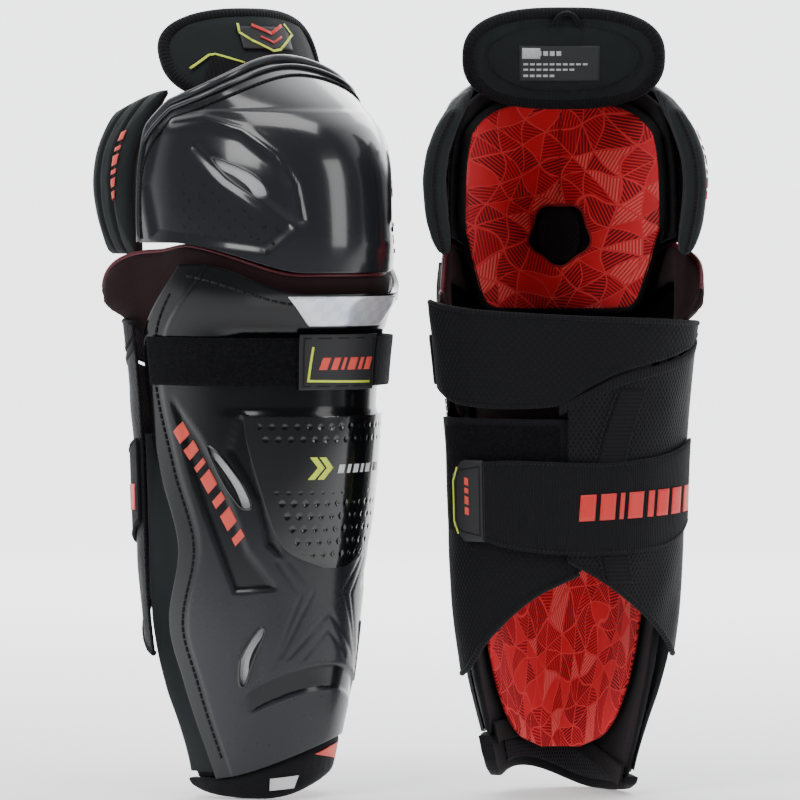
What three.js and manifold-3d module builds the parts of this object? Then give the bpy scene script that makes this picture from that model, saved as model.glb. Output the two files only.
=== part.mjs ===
// A pair of ice hockey shin guards, standing side by side on their hems.
// Each guard is drawn in its own frame: front -Y, lateral side -X, up +Z, hem at z = 0, millimetres.
// Around the leg a place is given by PHI, 0 at the front, -90 lateral, +90 medial, 180 at the back,
// by its height z, and by how far it stands off the outer face of the plastic.
import * as THREE from "three";
import { mergeVertices } from "three/addons/utils/BufferGeometryUtils.js";
import Module from "manifold-3d";

const wasm = await Module();
wasm.setup();

// ---------- driving dimensions ----------
const GUARD_A = { prefix: "guard_a_", x: -104.2, y: 11.79, turn: 40 };
const GUARD_B = { prefix: "guard_b_", x: 106.8, y: -26.71, turn: 180 };

// Half width, front depth and back depth of the shin section at each height.
const SHIN_WIDTH = [
  [0, 49], [45, 58], [80, 65], [130, 71.5], [230, 75.5], [275, 79],
  [330, 85], [350, 86],
];
const SHIN_FRONT = [
  [0, 69], [45, 79], [80, 87], [130, 91], [180, 98], [230, 104],
  [305, 109], [330, 121], [350, 123],
];
const SHIN_BACK = [[0, 28], [80, 38], [180, 46], [275, 50], [350, 55]];
// The same for the knee.
const KNEE_WIDTH = [[335, 84], [405, 84], [434, 80], [460, 71], [482, 60]];
const KNEE_FRONT = [
  [335, 117], [363, 120], [400, 118], [418, 114], [436, 105],
  [450, 91], [462, 75], [482, 44],
];
const KNEE_BACK = [[335, 30], [482, 16]];
// The soft rolls beside the knee: how far out they stand, and where they start and end front to back.
const ROLL_OUT = [[350, 83], [380, 88], [405, 89.5], [426, 86], [452, 74], [464, 63]];
const ROLL_START = [[350, 9], [410, 9], [435, 6], [452, 2], [464, 2]];
const ROLL_END = [[350, 33], [393, 41], [439, 38], [464, 24]];
const ROLL_THICK = 16;
// How far round each side the shin shell reaches, in degrees.
const SHELL_REACH = [
  [12, 65], [49, 74], [77, 79], [112, 84], [164, 77], [216, 87],
  [270, 94], [305, 90], [348, 73],
];

// The same for the knee cap.
const KNEE_REACH = [[335, 82], [353, 88], [374, 95], [407, 95], [435, 89], [458, 75], [482, 62]];

const SHELL_THICK = 3;
const GAP = 1.1;
const STRAP_THICK = 2;
// Inner and outer offset of each layer of the wall.
const WALL = { carrier: [-12, -5.6], liner: [-19.4, -14.7], mesh: [-4.6, -4], collar: [-11, -5] };
const KNEE_WALL = { mesh: [-4.6, -4], foam: [-11.5, -5.6], liner: [-21.4, -15], hole: [-14, -12.8] };
const BACK_WALL = {
  medial: [0, 2.4],
  patch: [2.8, 4.2],
  lateral: [3.2, 5.6],
  band: [3.2, 6.2],
  strap: [6.2, 8.2],
};
const COLLAR_FRONT = 342;
const COLLAR_RISE = 19;
const SHELL_DROP = 12;
const STRAP_LOW = 270;
const STRAP_HIGH = 302;
const KNEE_TOP = 480;
const HOLE = { z: 367, radius: 21 };
const FLAP = {
  z: 483,
  halfWidth: 62,
  halfHeight: 29,
  thick: 12,
  base: -33,
  lean: 0.42,
  bow: 0.006,
  corner: 2.6,
};

// ---------- materials ----------
const paint = (color, roughness, metalness = 0) =>
  new THREE.MeshStandardMaterial({ color, roughness, metalness });
const FINISH = {
  shell: paint(0x24272b, 0.22),
  chrome: paint(0xc9ccd2, 0.18, 1),
  mesh: paint(0xc4c5cb, 0.6, 0.2),
  darkMesh: paint(0x0c0c0e, 0.8),
  collar: paint(0x2a0b10, 0.85),
  fabric: paint(0x1b1c20, 0.9),
  grey: paint(0x2f3538, 0.85),
  loop: paint(0x0d0d10, 0.95),
  elastic: paint(0x131318, 0.9),
  liner: paint(0xdc2a33, 0.85),
};

// ---------- formulae ----------
const { degToRad, smoothstep, lerp } = THREE.MathUtils;
const sinDeg = (a) => Math.sin(degToRad(a));
const cosDeg = (a) => Math.cos(degToRad(a));

// A smooth curve through [place, value] pairs.
function through(keys, at) {
  const last = keys.length - 1;
  let i = 0;
  while (i < last - 1 && at > keys[i + 1][0]) i += 1;
  const slope = (k) => {
    const a = keys[Math.max(k - 1, 0)];
    const b = keys[Math.min(k + 1, last)];
    return (b[1] - a[1]) / (b[0] - a[0]);
  };
  const [x0, y0] = keys[i];
  const [x1, y1] = keys[i + 1];
  const t = THREE.MathUtils.clamp((at - x0) / (x1 - x0), 0, 1);
  const span = x1 - x0;
  const [t2, t3] = [t * t, t * t * t];
  const level = y0 * (2 * t3 - 3 * t2 + 1) + y1 * (3 * t2 - 2 * t3);
  return level + span * (slope(i) * (t3 - 2 * t2 + t) + slope(i + 1) * (t3 - t2));
}

function onSection(width, front, back, phi, z, off) {
  const depth = cosDeg(phi) >= 0 ? front : back;
  const x = (through(width, z) + off) * sinDeg(phi);
  return new THREE.Vector3(x, -(through(depth, z) + off) * cosDeg(phi), z);
}
const onShin = (phi, z, off) => onSection(SHIN_WIDTH, SHIN_FRONT, SHIN_BACK, phi, z, off);
const onKnee = (phi, z, off) => onSection(KNEE_WIDTH, KNEE_FRONT, KNEE_BACK, phi, z, off);

const collarTop = (phi) => COLLAR_FRONT + COLLAR_RISE * smoothstep(Math.abs(phi), 25, 75);
const shellTop = (phi) => collarTop(phi) - SHELL_DROP;
const shellBottom = (phi) => 12 + 28 * smoothstep(phi, -95, 40);
// The height of the shell's lower edge round the leg, where the shell is narrower than at its middle.
const shellEdge = (phi) => shellBottom(THREE.MathUtils.clamp(phi * 1.24, -90, 90));
const shellReach = (z) => through(SHELL_REACH, z);
const carrierReach = (z) => lerp(shellReach(z) + 18, 76, smoothstep(z, 228, 246));
// The hem stands flat on the floor all round but for a low arch towards the inner ankle.
const hemLow = (phi) => (Math.abs(phi - 35) < 55 ? 9 * cosDeg(((phi - 35) * 90) / 55) ** 2 : 0);

// ---------- solids ----------
// A closed slab between two grids of points, each given by a function of u and v from 0 to 1.
function slab(nu, nv, outer, inner) {
  const points = [];
  for (const side of [outer, inner]) {
    for (let j = 0; j <= nv; j += 1) {
      for (let i = 0; i <= nu; i += 1) points.push(side(i / nu, j / nv));
    }
  }
  const half = (nu + 1) * (nv + 1);
  const at = (i, j, k) => k * half + j * (nu + 1) + i;
  const faces = [];
  const quad = (a, b, c, d) => faces.push(a, b, c, a, c, d);
  for (let j = 0; j < nv; j += 1) {
    for (let i = 0; i < nu; i += 1) {
      quad(at(i, j, 0), at(i + 1, j, 0), at(i + 1, j + 1, 0), at(i, j + 1, 0));
      quad(at(i, j, 1), at(i, j + 1, 1), at(i + 1, j + 1, 1), at(i + 1, j, 1));
    }
  }
  for (let i = 0; i < nu; i += 1) {
    quad(at(i, 0, 1), at(i + 1, 0, 1), at(i + 1, 0, 0), at(i, 0, 0));
    quad(at(i, nv, 0), at(i + 1, nv, 0), at(i + 1, nv, 1), at(i, nv, 1));
  }
  for (let j = 0; j < nv; j += 1) {
    quad(at(0, j, 1), at(0, j, 0), at(0, j + 1, 0), at(0, j + 1, 1));
    quad(at(nu, j, 0), at(nu, j, 1), at(nu, j + 1, 1), at(nu, j + 1, 0));
  }
  return fromPoints(points, faces);
}

function fromPoints(points, faces) {
  const geometry = new THREE.BufferGeometry().setFromPoints(points);
  geometry.setIndex(faces);
  return geometry;
}

// A layer of wall that follows a section: from phi0 to phi1, between two heights, between two offsets.
function wall({ on = onShin, phi, low, high, off, nu, nv }) {
  const [lowAt, highAt] = [low, high].map((h) => (typeof h === "function" ? h : () => h));
  const place = (side) => (u, v) => {
    const angle = lerp(phi[0], phi[1], u);
    const z = lerp(lowAt(angle), highAt(angle), v);
    return on(angle, z, side);
  };
  return slab(nu, nv, place(off[1]), place(off[0]));
}

// The same, but as wide at each height as reach(z) says.
function reachingWall({ on = onShin, reach, low, high, off, nu, nv }) {
  const place = (side) => (u, v) => {
    const share = 2 * u - 1;
    const z = lerp(low(share * 84), high(share * 84), v);
    return on(share * reach(z), z, side);
  };
  return slab(nu, nv, place(off[1]), place(off[0]));
}

// A ring between a hole and an outline, both closed curves of angle t, as a padded sheet.
function ring(n, rows, placeOut, placeIn) {
  const points = [];
  for (const side of [placeOut, placeIn]) {
    for (let j = 0; j <= rows; j += 1) {
      for (let i = 0; i < n; i += 1) points.push(side((2 * Math.PI * i) / n, j / rows));
    }
  }
  const half = n * (rows + 1);
  const at = (i, j, k) => k * half + j * n + (i % n);
  const faces = [];
  const quad = (a, b, c, d) => faces.push(a, b, c, a, c, d);
  for (let i = 0; i < n; i += 1) {
    for (let j = 0; j < rows; j += 1) {
      quad(at(i, j, 0), at(i, j + 1, 0), at(i + 1, j + 1, 0), at(i + 1, j, 0));
      quad(at(i, j, 1), at(i + 1, j, 1), at(i + 1, j + 1, 1), at(i, j + 1, 1));
    }
    quad(at(i, 0, 1), at(i, 0, 0), at(i + 1, 0, 0), at(i + 1, 0, 1));
    quad(at(i, rows, 0), at(i, rows, 1), at(i + 1, rows, 1), at(i + 1, rows, 0));
  }
  return fromPoints(points, faces);
}

// A round bead along a closed curve that lies roughly upright.
function bead(n, sides, radius, curve) {
  const points = [];
  const faces = [];
  for (let i = 0; i < n; i += 1) {
    const t = (2 * Math.PI * i) / n;
    const centre = curve(t);
    const along = curve(t + 0.01).sub(curve(t - 0.01)).normalize();
    const across = new THREE.Vector3(0, -1, 0).cross(along).normalize();
    const upward = along.clone().cross(across);
    for (let k = 0; k < sides; k += 1) {
      const a = (2 * Math.PI * k) / sides;
      const point = centre.clone();
      point.addScaledVector(across, radius * Math.cos(a));
      point.addScaledVector(upward, radius * Math.sin(a));
      points.push(point);
      const [i1, k1] = [(i + 1) % n, (k + 1) % sides];
      faces.push(i * sides + k, i1 * sides + k1, i1 * sides + k);
      faces.push(i * sides + k, i * sides + k1, i1 * sides + k1);
    }
  }
  return fromPoints(points, faces);
}

// A prism that pierces a wall: its outline is a list of [phi, z].
function piercing(on, outline) {
  const flat = outline.map(([phi, z]) => new THREE.Vector2(phi, z));
  if (THREE.ShapeUtils.isClockWise(flat)) flat.reverse();
  const n = flat.length;
  const points = [8, -9].flatMap((off) => flat.map((p) => on(p.x, p.y, off)));
  const faces = [];
  for (const [a, b, c] of THREE.ShapeUtils.triangulateShape(flat, [])) {
    faces.push(a, b, c, n + a, n + c, n + b);
  }
  for (let i = 0; i < n; i += 1) {
    const j = (i + 1) % n;
    faces.push(i, n + i, n + j, i, n + j, j);
  }
  return fromPoints(points, faces);
}

function solid(geometry) {
  const bare = geometry.clone();
  bare.deleteAttribute("normal");
  bare.deleteAttribute("uv");
  const merged = mergeVertices(bare, 1e-4);
  const mesh = new wasm.Mesh({
    numProp: 3,
    vertProperties: merged.attributes.position.array,
    triVerts: new Uint32Array(merged.index.array),
  });
  return new wasm.Manifold(mesh);
}

function geometryOf(whole) {
  const { vertProperties, triVerts } = whole.getMesh();
  const made = new THREE.BufferGeometry();
  made.setAttribute("position", new THREE.BufferAttribute(new Float32Array(vertProperties), 3));
  made.setIndex(new THREE.BufferAttribute(new Uint32Array(triVerts), 1));
  return made;
}

function cut(geometry, tools) {
  let left = solid(geometry);
  for (const tool of tools) left = left.subtract(solid(tool));
  return geometryOf(left);
}

// ---------- outlines ----------
const mirrored = (outline) => outline.map(([phi, z]) => [-phi, z]);
const UPPER_VENT = [
  [-64, 234], [-57, 226], [-47, 207], [-42, 191], [-47, 190],
  [-56, 208],
];
const LOWER_VENT = [
  [-37, 115], [-34, 112], [-41, 93], [-46, 73], [-49, 76], [-48, 94],
];
const KNEE_VENT = [
  [-61, 420], [-47, 411], [-40, 402], [-38, 393], [-43, 391],
  [-56, 408],
];
const PANEL_REACH = [[152, 7], [160, 22], [168, 29], [185, 35], [230, 45], [252, 47]];
const KNEE_LINER_OUTLINE = [
  [0, 318], [30, 319.5], [46, 326], [56, 345], [62, 364],
  [67, 386], [67, 410], [60, 434], [40, 451], [0, 456],
];
// The lateral wing reaches from the shell's edge at phi 270 to the middle of the calf at phi 180.
const WING_TOP = [
  [176, 252], [190, 262], [205, 272], [230, 280], [252, 287],
  [268, 296],
];
const WING_LOW = [
  [176, 161], [200, 143], [230, 116], [255, 97], [268, 92],
];
const MEDIAL_LOW = [[98, 80], [115, 86], [140, 110], [165, 134], [187, 148]];
const BAND_TOP = [[100, 324], [140, 318], [220, 312], [266, 310]];
const BAND_LOW = [
  [100, 266], [125, 256], [176, 256], [190, 268], [205, 278],
  [230, 286], [252, 293], [266, 300],
];
const STRAP_TOP = [
  [122, 218], [150, 222], [200, 221], [235, 226], [262, 235],
];
const STRAP_BOTTOM = [
  [122, 180], [150, 166], [190, 161], [235, 166], [262, 180],
];
const BINDING = 5;

const wingTop = (phi) => through(WING_TOP, phi);
const wingLow = (phi) => through(WING_LOW, phi);

// ---------- the shin ----------
function shinShell() {
  const body = reachingWall({
    reach: shellReach,
    low: shellBottom,
    high: shellTop,
    off: [-SHELL_THICK, 0],
    nu: 15,
    nv: 11,
  });
  const vents = [UPPER_VENT, LOWER_VENT].flatMap((v) => [v, mirrored(v)]);
  return cut(body, vents.map((v) => piercing(onShin, v)));
}

function shinPanel() {
  const reach = (z) => through(PANEL_REACH, z);
  return reachingWall({ reach, low: () => 152, high: () => 251, off: [GAP + 0.8, 3], nu: 9, nv: 7 });
}

function badgePlate() {
  const reach = (z) => lerp(20, 32, (z - 309) / 20);
  return reachingWall({ reach, low: () => 309, high: () => 329, off: [GAP + 0.5, 3], nu: 9, nv: 2 });
}

const shinVentMesh = () =>
  wall({ phi: [-68, 68], low: 68, high: 240, off: WALL.mesh, nu: 14, nv: 4 });

function shinCollar() {
  const tail = (phi) => smoothstep(Math.abs(phi), 76, 96);
  const low = (phi) => lerp(shellTop(phi) - 13, 250, tail(phi));
  const high = (phi) => lerp(collarTop(phi), 330, tail(phi));
  return wall({ phi: [-110, 110], low, high, off: WALL.collar, nu: 22, nv: 2 });
}

const foamCarrier = () =>
  reachingWall({ reach: carrierReach, low: shellEdge, high: () => 312, off: WALL.carrier, nu: 15, nv: 8 });

const shinLiner = () => wall({ phi: [-70, 70], low: 40, high: 310, off: WALL.liner, nu: 12, nv: 5 });

function hemSock() {
  const high = (phi) => shellEdge(phi) - 1.2;
  return wall({ phi: [-92, 92], low: hemLow, high, off: [-10, -1.5], nu: 16, nv: 2 });
}

// ---------- straps ----------
function frontLoopStrap() {
  const off = [GAP, STRAP_THICK + GAP];
  return wall({ phi: [-87, 14], low: STRAP_LOW, high: STRAP_HIGH, off, nu: 10, nv: 1 });
}

const STRAP_OUTER = [STRAP_THICK + 2 * GAP, 2 * STRAP_THICK + 2 * GAP];
const strapTag = () =>
  wall({ phi: [-24, 16], low: STRAP_LOW - 2, high: STRAP_HIGH + 2, off: STRAP_OUTER, nu: 5, nv: 1 });
const sideWebbing = () =>
  wall({ phi: [16.3, 94], low: STRAP_LOW, high: STRAP_HIGH, off: STRAP_OUTER, nu: 8, nv: 1 });

const upperBand = () =>
  wall({
    phi: [101, 266],
    low: (phi) => through(BAND_LOW, phi) + BINDING,
    high: (phi) => through(BAND_TOP, phi),
    off: BACK_WALL.band,
    nu: 18,
    nv: 2,
  });

const lateralWing = () =>
  wall({ phi: [182, 266], low: wingLow, high: wingTop, off: BACK_WALL.lateral, nu: 10, nv: 4 });

const wingBinding = () =>
  wall({
    phi: [178, 266],
    low: (phi) => wingTop(phi) + GAP,
    high: (phi) => wingTop(phi) + BINDING,
    off: [BACK_WALL.lateral[0] - 0.4, BACK_WALL.lateral[1] + 0.4],
    nu: 12,
    nv: 1,
  });

const medialWing = () =>
  wall({
    phi: [96, 186],
    low: (phi) => through(MEDIAL_LOW, phi),
    high: 249,
    off: BACK_WALL.medial,
    nu: 10,
    nv: 4,
  });

const loopPatch = () =>
  wall({ phi: [104, 177], low: 176, high: 244, off: BACK_WALL.patch, nu: 7, nv: 1 });

const calfStrap = () =>
  wall({
    phi: [140, 262],
    low: (phi) => through(STRAP_BOTTOM, phi),
    high: (phi) => through(STRAP_TOP, phi),
    off: BACK_WALL.strap,
    nu: 12,
    nv: 1,
  });

function calfStrapTab() {
  const pinch = (phi) => 9 * smoothstep(-phi, -128, -118);
  return wall({
    phi: [118, 139.6],
    low: (phi) => lerp(170, 168, (phi - 118) / 22) + pinch(phi),
    high: (phi) => 222 - pinch(phi),
    off: [BACK_WALL.strap[0] - 0.6, BACK_WALL.strap[1] + 0.3],
    nu: 4,
    nv: 1,
  });
}

// ---------- the knee ----------
const kneeBottom = (phi) => collarTop(phi) + 1.6;
const kneeTop = (phi) => KNEE_TOP - 20 * (phi / 70) ** 2;

const kneeReach = (z) => through(KNEE_REACH, z);
// The cap's lower edge where a share of 84 degrees has spread to the cap's own reach.
const capBottom = (spread) => kneeBottom(spread * 1.09);
const CAP_GRID = { nu: 17, nv: 8 };

function kneeCap() {
  const body = reachingWall({
    on: onKnee,
    reach: kneeReach,
    low: capBottom,
    high: kneeTop,
    off: [-SHELL_THICK, 0],
    ...CAP_GRID,
  });
  return cut(body, [KNEE_VENT, mirrored(KNEE_VENT)].map((v) => piercing(onKnee, v)));
}

const KNEE_EDGE_STEPS = CAP_GRID.nu + 2 * CAP_GRID.nv;
// The cap's edge from its lateral lower corner, over the top, to the medial one: [phi, z] at t from 0 to 1.
function kneeEdge(t) {
  const rise = CAP_GRID.nv / KNEE_EDGE_STEPS;
  const side = Math.max(0, Math.abs(2 * t - 1) - (1 - 2 * rise)) / (2 * rise);
  const share = THREE.MathUtils.clamp((2 * t - 1) / (1 - 2 * rise), -1, 1);
  const z = lerp(kneeTop(share * 84), capBottom(84), side);
  return [share * kneeReach(z), z];
}

// The piping round the cap's edge, from 0.9 to 4.6 mm outside it.
function kneeRim() {
  const perDegree = degToRad(1) * 80;
  const place = (off) => (u, v) => {
    const half = 0.5 / KNEE_EDGE_STEPS;
    const [phi0, z0] = kneeEdge(Math.max(u - half, 0));
    const [phi1, z1] = kneeEdge(Math.min(u + half, 1));
    const along = new THREE.Vector2((phi1 - phi0) * perDegree, z1 - z0).normalize();
    const [phi, z] = kneeEdge(u);
    const out = lerp(0.9, 4.6, v);
    return onKnee(phi - (along.y * out) / perDegree, z + along.x * out, off);
  };
  return slab(KNEE_EDGE_STEPS, 1, place(2), place(-4.5));
}

const kneeVentMesh = () =>
  wall({ on: onKnee, phi: [-70, 70], low: 372, high: 430, off: KNEE_WALL.mesh, nu: 12, nv: 3 });

function kneeBolster(side) {
  const place = (outer) => (u, v) => {
    const along = side < 0 ? 1 - u : u;
    const start = lerp(ROLL_START[0][1], ROLL_END[0][1], along);
    const z = lerp(355 + 8 * smoothstep(-start, -14, 10), 464, v);
    const y = lerp(through(ROLL_START, z), through(ROLL_END, z), along);
    const round = 4 * Math.abs(2 * along - 1) ** 3 + 4 * Math.abs(2 * v - 1) ** 4;
    const out = through(ROLL_OUT, z) - (outer ? round : ROLL_THICK - round / 2);
    return new THREE.Vector3(side * out, y, z);
  };
  return slab(5, 7, place(true), place(false));
}

function kneeFoam() {
  const low = (phi) => collarTop(phi) + 4;
  const high = (phi) => kneeTop(phi) - 7;
  return wall({ on: onKnee, phi: [-76, 76], low, high, off: KNEE_WALL.foam, nu: 12, nv: 5 });
}

// A place on the inside of the knee, x sideways along the wall and z up.
function insideKnee(x, z, off) {
  const half = through(KNEE_WIDTH, z) + off;
  const phi = THREE.MathUtils.radToDeg(Math.asin(THREE.MathUtils.clamp(x / half, -0.97, 0.97)));
  return onKnee(phi, z, off);
}

function linerOutline(t) {
  const up = 0.5 - 0.5 * Math.cos(t);
  const share = up * (KNEE_LINER_OUTLINE.length - 1);
  const i = Math.min(Math.floor(share), KNEE_LINER_OUTLINE.length - 2);
  const [a, b] = [KNEE_LINER_OUTLINE[i], KNEE_LINER_OUTLINE[i + 1]];
  const x = lerp(a[0], b[0], share - i) * (Math.sin(t) < 0 ? -1 : 1);
  return [x, lerp(a[1], b[1], share - i)];
}

function kneeLiner() {
  const place = (off) => (t, v) => {
    const [x, z] = linerOutline(t);
    const hx = HOLE.radius * Math.sin(t);
    const hz = HOLE.z - HOLE.radius * Math.cos(t);
    return insideKnee(lerp(hx, x, v), lerp(hz, z, v), off);
  };
  return ring(24, 3, place(KNEE_WALL.liner[1]), place(KNEE_WALL.liner[0]));
}

function kneeMesh() {
  const reach = (z) => 1.5 + 10 * Math.sqrt(Math.max(0, 1 - ((z - HOLE.z) / 19) ** 2));
  const [low, high] = [() => 349, () => 385];
  return reachingWall({ on: onKnee, reach, low, high, off: KNEE_WALL.hole, nu: 4, nv: 6 });
}

// ---------- the thigh flap ----------
const onFlap = (x, z, off) => {
  const y = FLAP.base + FLAP.lean * (z - 454) + FLAP.bow * x * x;
  return new THREE.Vector3(x, y + off, z);
};

// A rounded oval, share of the way out from the middle, at angle t from the bottom.
function flapPlace(t, share, grow = 0) {
  const round = (c) => Math.sign(c) * Math.abs(c) ** (2 / FLAP.corner);
  const x = (FLAP.halfWidth + grow) * round(Math.sin(t)) * share;
  const z = FLAP.z - (FLAP.halfHeight + grow) * round(Math.cos(t)) * share;
  return [x, z];
}

function disc(n, rows, growth, offs) {
  const place = (off) => (t, v) => {
    const [x, z] = flapPlace(t, lerp(0.1, 1, v), growth);
    return onFlap(x, z, off);
  };
  const sheet = ring(n, rows, place(offs[0]), place(offs[1]));
  const middle = (off) => (u, v) => onFlap(lerp(-9, 9, u), FLAP.z + lerp(-6, 6, v), off);
  const core = slab(1, 1, middle(offs[0] + 0.2), middle(offs[1] - 0.2));
  return geometryOf(solid(sheet).add(solid(core)));
}

const thighFlap = () => disc(18, 1, -4.6, [-FLAP.thick / 2, FLAP.thick / 2]);

const flapBinding = () =>
  bead(20, 5, 4, (t) => {
    const [x, z] = flapPlace(t, 1);
    return onFlap(x, z, 0);
  });

function flapPatch() {
  const face = -FLAP.thick / 2 - 0.6;
  const place = (off) => (u, v) => {
    const z = lerp(492, 505, v);
    const x = lerp(-17, 17, u) * (0.62 + 0.38 * smoothstep(z, 492, 498));
    return onFlap(x, z, off);
  };
  return slab(4, 2, place(face - 1.2), place(face));
}

// ---------- one guard ----------
const SUBPARTS = {
  shin_shell: [shinShell, FINISH.shell],
  shin_panel: [shinPanel, FINISH.shell],
  badge_plate: [badgePlate, FINISH.chrome],
  shin_vent_mesh: [shinVentMesh, FINISH.mesh],
  shin_collar: [shinCollar, FINISH.collar],
  foam_carrier: [foamCarrier, FINISH.fabric],
  shin_liner: [shinLiner, FINISH.liner],
  hem_sock: [hemSock, FINISH.fabric],
  front_loop_strap: [frontLoopStrap, FINISH.loop],
  strap_tag: [strapTag, FINISH.elastic],
  side_webbing: [sideWebbing, FINISH.elastic],
  upper_band: [upperBand, FINISH.fabric],
  lateral_wing: [lateralWing, FINISH.darkMesh],
  wing_binding: [wingBinding, FINISH.elastic],
  medial_wing: [medialWing, FINISH.fabric],
  loop_patch: [loopPatch, FINISH.loop],
  calf_strap: [calfStrap, FINISH.elastic],
  calf_strap_tab: [calfStrapTab, FINISH.fabric],
  knee_cap: [kneeCap, FINISH.shell],
  knee_rim: [kneeRim, FINISH.elastic],
  knee_vent_mesh: [kneeVentMesh, FINISH.mesh],
  bolster_lateral: [() => kneeBolster(-1), FINISH.grey],
  bolster_medial: [() => kneeBolster(1), FINISH.grey],
  knee_foam: [kneeFoam, FINISH.fabric],
  knee_liner: [kneeLiner, FINISH.liner],
  knee_mesh: [kneeMesh, FINISH.darkMesh],
  thigh_flap: [thighFlap, FINISH.grey],
  flap_binding: [flapBinding, FINISH.elastic],
  flap_patch: [flapPatch, FINISH.fabric],
};

function guard({ prefix, x, y, turn }) {
  const group = new THREE.Group();
  group.position.set(x, y, 0);
  group.rotation.z = degToRad(turn);
  for (const [name, [make, material]] of Object.entries(SUBPARTS)) {
    const mesh = new THREE.Mesh(make(), material);
    mesh.name = prefix + name;
    group.add(mesh);
  }
  return group;
}

const pair = new THREE.Group();
pair.add(guard(GUARD_A), guard(GUARD_B));
export default pair;
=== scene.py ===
import math

import bmesh
import bpy
from mathutils import Matrix, Vector, noise


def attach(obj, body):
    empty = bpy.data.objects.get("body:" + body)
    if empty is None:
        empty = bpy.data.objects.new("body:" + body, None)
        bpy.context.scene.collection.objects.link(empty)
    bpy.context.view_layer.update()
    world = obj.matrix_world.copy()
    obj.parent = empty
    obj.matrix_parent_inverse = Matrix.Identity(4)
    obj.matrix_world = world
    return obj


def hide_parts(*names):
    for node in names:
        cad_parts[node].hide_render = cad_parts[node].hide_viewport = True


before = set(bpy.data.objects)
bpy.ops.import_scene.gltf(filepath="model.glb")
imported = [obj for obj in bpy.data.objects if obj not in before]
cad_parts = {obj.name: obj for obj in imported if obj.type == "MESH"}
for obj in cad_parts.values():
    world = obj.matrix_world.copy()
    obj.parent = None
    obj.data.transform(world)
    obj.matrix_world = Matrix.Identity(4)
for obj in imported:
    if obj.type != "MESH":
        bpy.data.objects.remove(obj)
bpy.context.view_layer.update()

# Lengths are millimetres until a mesh is made. A guard is drawn in its own frame: front -Y, lateral
# side -X, up +Z, and phi in degrees round the leg, 0 in front, -90 lateral, 90 medial, 180 behind.
# A wall's layers are offsets from the shell's outer face, positive outwards.
MM = 0.001
MEAN_RADIUS = 88  # turns phi into a distance round the leg

# Where each guard stands: x, y, and its turn about the vertical in degrees.
GUARDS = {"guard_a_": (-104.2, 11.79, 40.0), "guard_b_": (106.8, -26.71, 180.0)}

# The leg's sections, as (z, half width) and (z, depth to the front or to the back).
SHIN_WIDTH = [(0, 49), (45, 58), (80, 65), (130, 71.5), (230, 75.5), (275, 79), (330, 85), (350, 86)]
SHIN_FRONT = [
    (0, 69), (45, 79), (80, 87), (130, 91), (180, 98), (230, 104), (305, 109), (330, 121), (350, 123),
]
SHIN_BACK = [(0, 28), (80, 38), (180, 46), (275, 50), (350, 55)]
KNEE_WIDTH = [(335, 84), (405, 84), (434, 80), (460, 71), (482, 60)]
KNEE_FRONT = [(335, 117), (363, 120), (400, 118), (418, 114), (436, 105), (450, 91), (462, 75), (482, 44)]
KNEE_BACK = [(335, 30), (482, 16)]
# How far phi reaches round the shell and the knee cap, as (z, phi).
SHELL_REACH = [(12, 65), (49, 74), (77, 79), (112, 84), (164, 77), (216, 87), (270, 94), (305, 90), (348, 73)]
KNEE_REACH = [(335, 82), (353, 88), (374, 95), (407, 95), (435, 89), (458, 75), (482, 62)]
PANEL_REACH = [(152, 7), (160, 22), (168, 29), (185, 35), (230, 45), (252, 47)]
LINER_REACH = [(27, 20), (36, 46), (55, 63), (95, 74), (200, 74), (310, 72)]
# The knee's side rolls: how far out they stand, and where they start and end in y, by z.
ROLL_OUT = [(350, 85), (380, 91), (405, 92.5), (426, 89), (452, 77), (464, 67), (472, 57)]
ROLL_HIGH = 462
ROLL_START = [(350, 9), (410, 9), (435, 6), (452, 2), (464, 2), (472, 4)]
ROLL_END = [(350, 37), (393, 46), (439, 43), (464, 30), (472, 20)]
# The windows of the shell and the cap, as (phi, z) on the lateral side and mirrored on the medial.
UPPER_VENT = [(-64, 234), (-57, 226), (-47, 207), (-42, 191), (-47, 190), (-56, 208)]
LOWER_VENT = [(-37, 115), (-34, 112), (-41, 93), (-46, 73), (-49, 76), (-48, 94)]
KNEE_VENT = [(-61, 420), (-47, 411), (-40, 402), (-38, 393), (-43, 391), (-56, 408)]
# Edges of the cloth behind the leg, as (phi, z).
WING_TOP = [(176, 252), (190, 262), (205, 272), (230, 280), (252, 287), (268, 296)]
WING_LOW = [(176, 161), (200, 143), (230, 116), (255, 97), (268, 92)]
MEDIAL_LOW = [(98, 80), (115, 86), (140, 110), (165, 134), (187, 148)]
BAND_TOP = [(100, 324), (140, 318), (220, 312), (266, 310)]
BAND_LOW = [(100, 266), (125, 256), (176, 256), (190, 268), (205, 278), (230, 286), (252, 293), (266, 300)]
STRAP_TOP = [(122, 218), (150, 222), (200, 221), (235, 226), (262, 235)]
STRAP_LOW = [(122, 180), (150, 166), (190, 161), (235, 166), (262, 180)]
# Half of the knee liner's outline, from the bottom up, as (x, z).
KNEE_LINER = [
    (0, 317), (38, 318), (50, 322.5), (57, 343), (62, 364),
    (67, 386), (67, 410), (60, 434), (40, 451), (0, 456),
]
KNEE_TOP = 480
HOLE_Z, HOLE_RADIUS = 367, 21
FLAP_Z, FLAP_WIDTH, FLAP_HEIGHT = 483, 62, 29


# ---------- formulae ----------
def clamp(x, low=0.0, high=1.0):
    return max(low, min(high, x))


def step(x, low, high):
    """0 below low, 1 above high, and a smooth slope between."""
    t = clamp((x - low) / (high - low))
    return t * t * (3 - 2 * t)


def mix(a, b, t):
    return a + (b - a) * t


def bump(x, middle, width):
    return math.exp(-(((x - middle) / width) ** 2))


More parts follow.
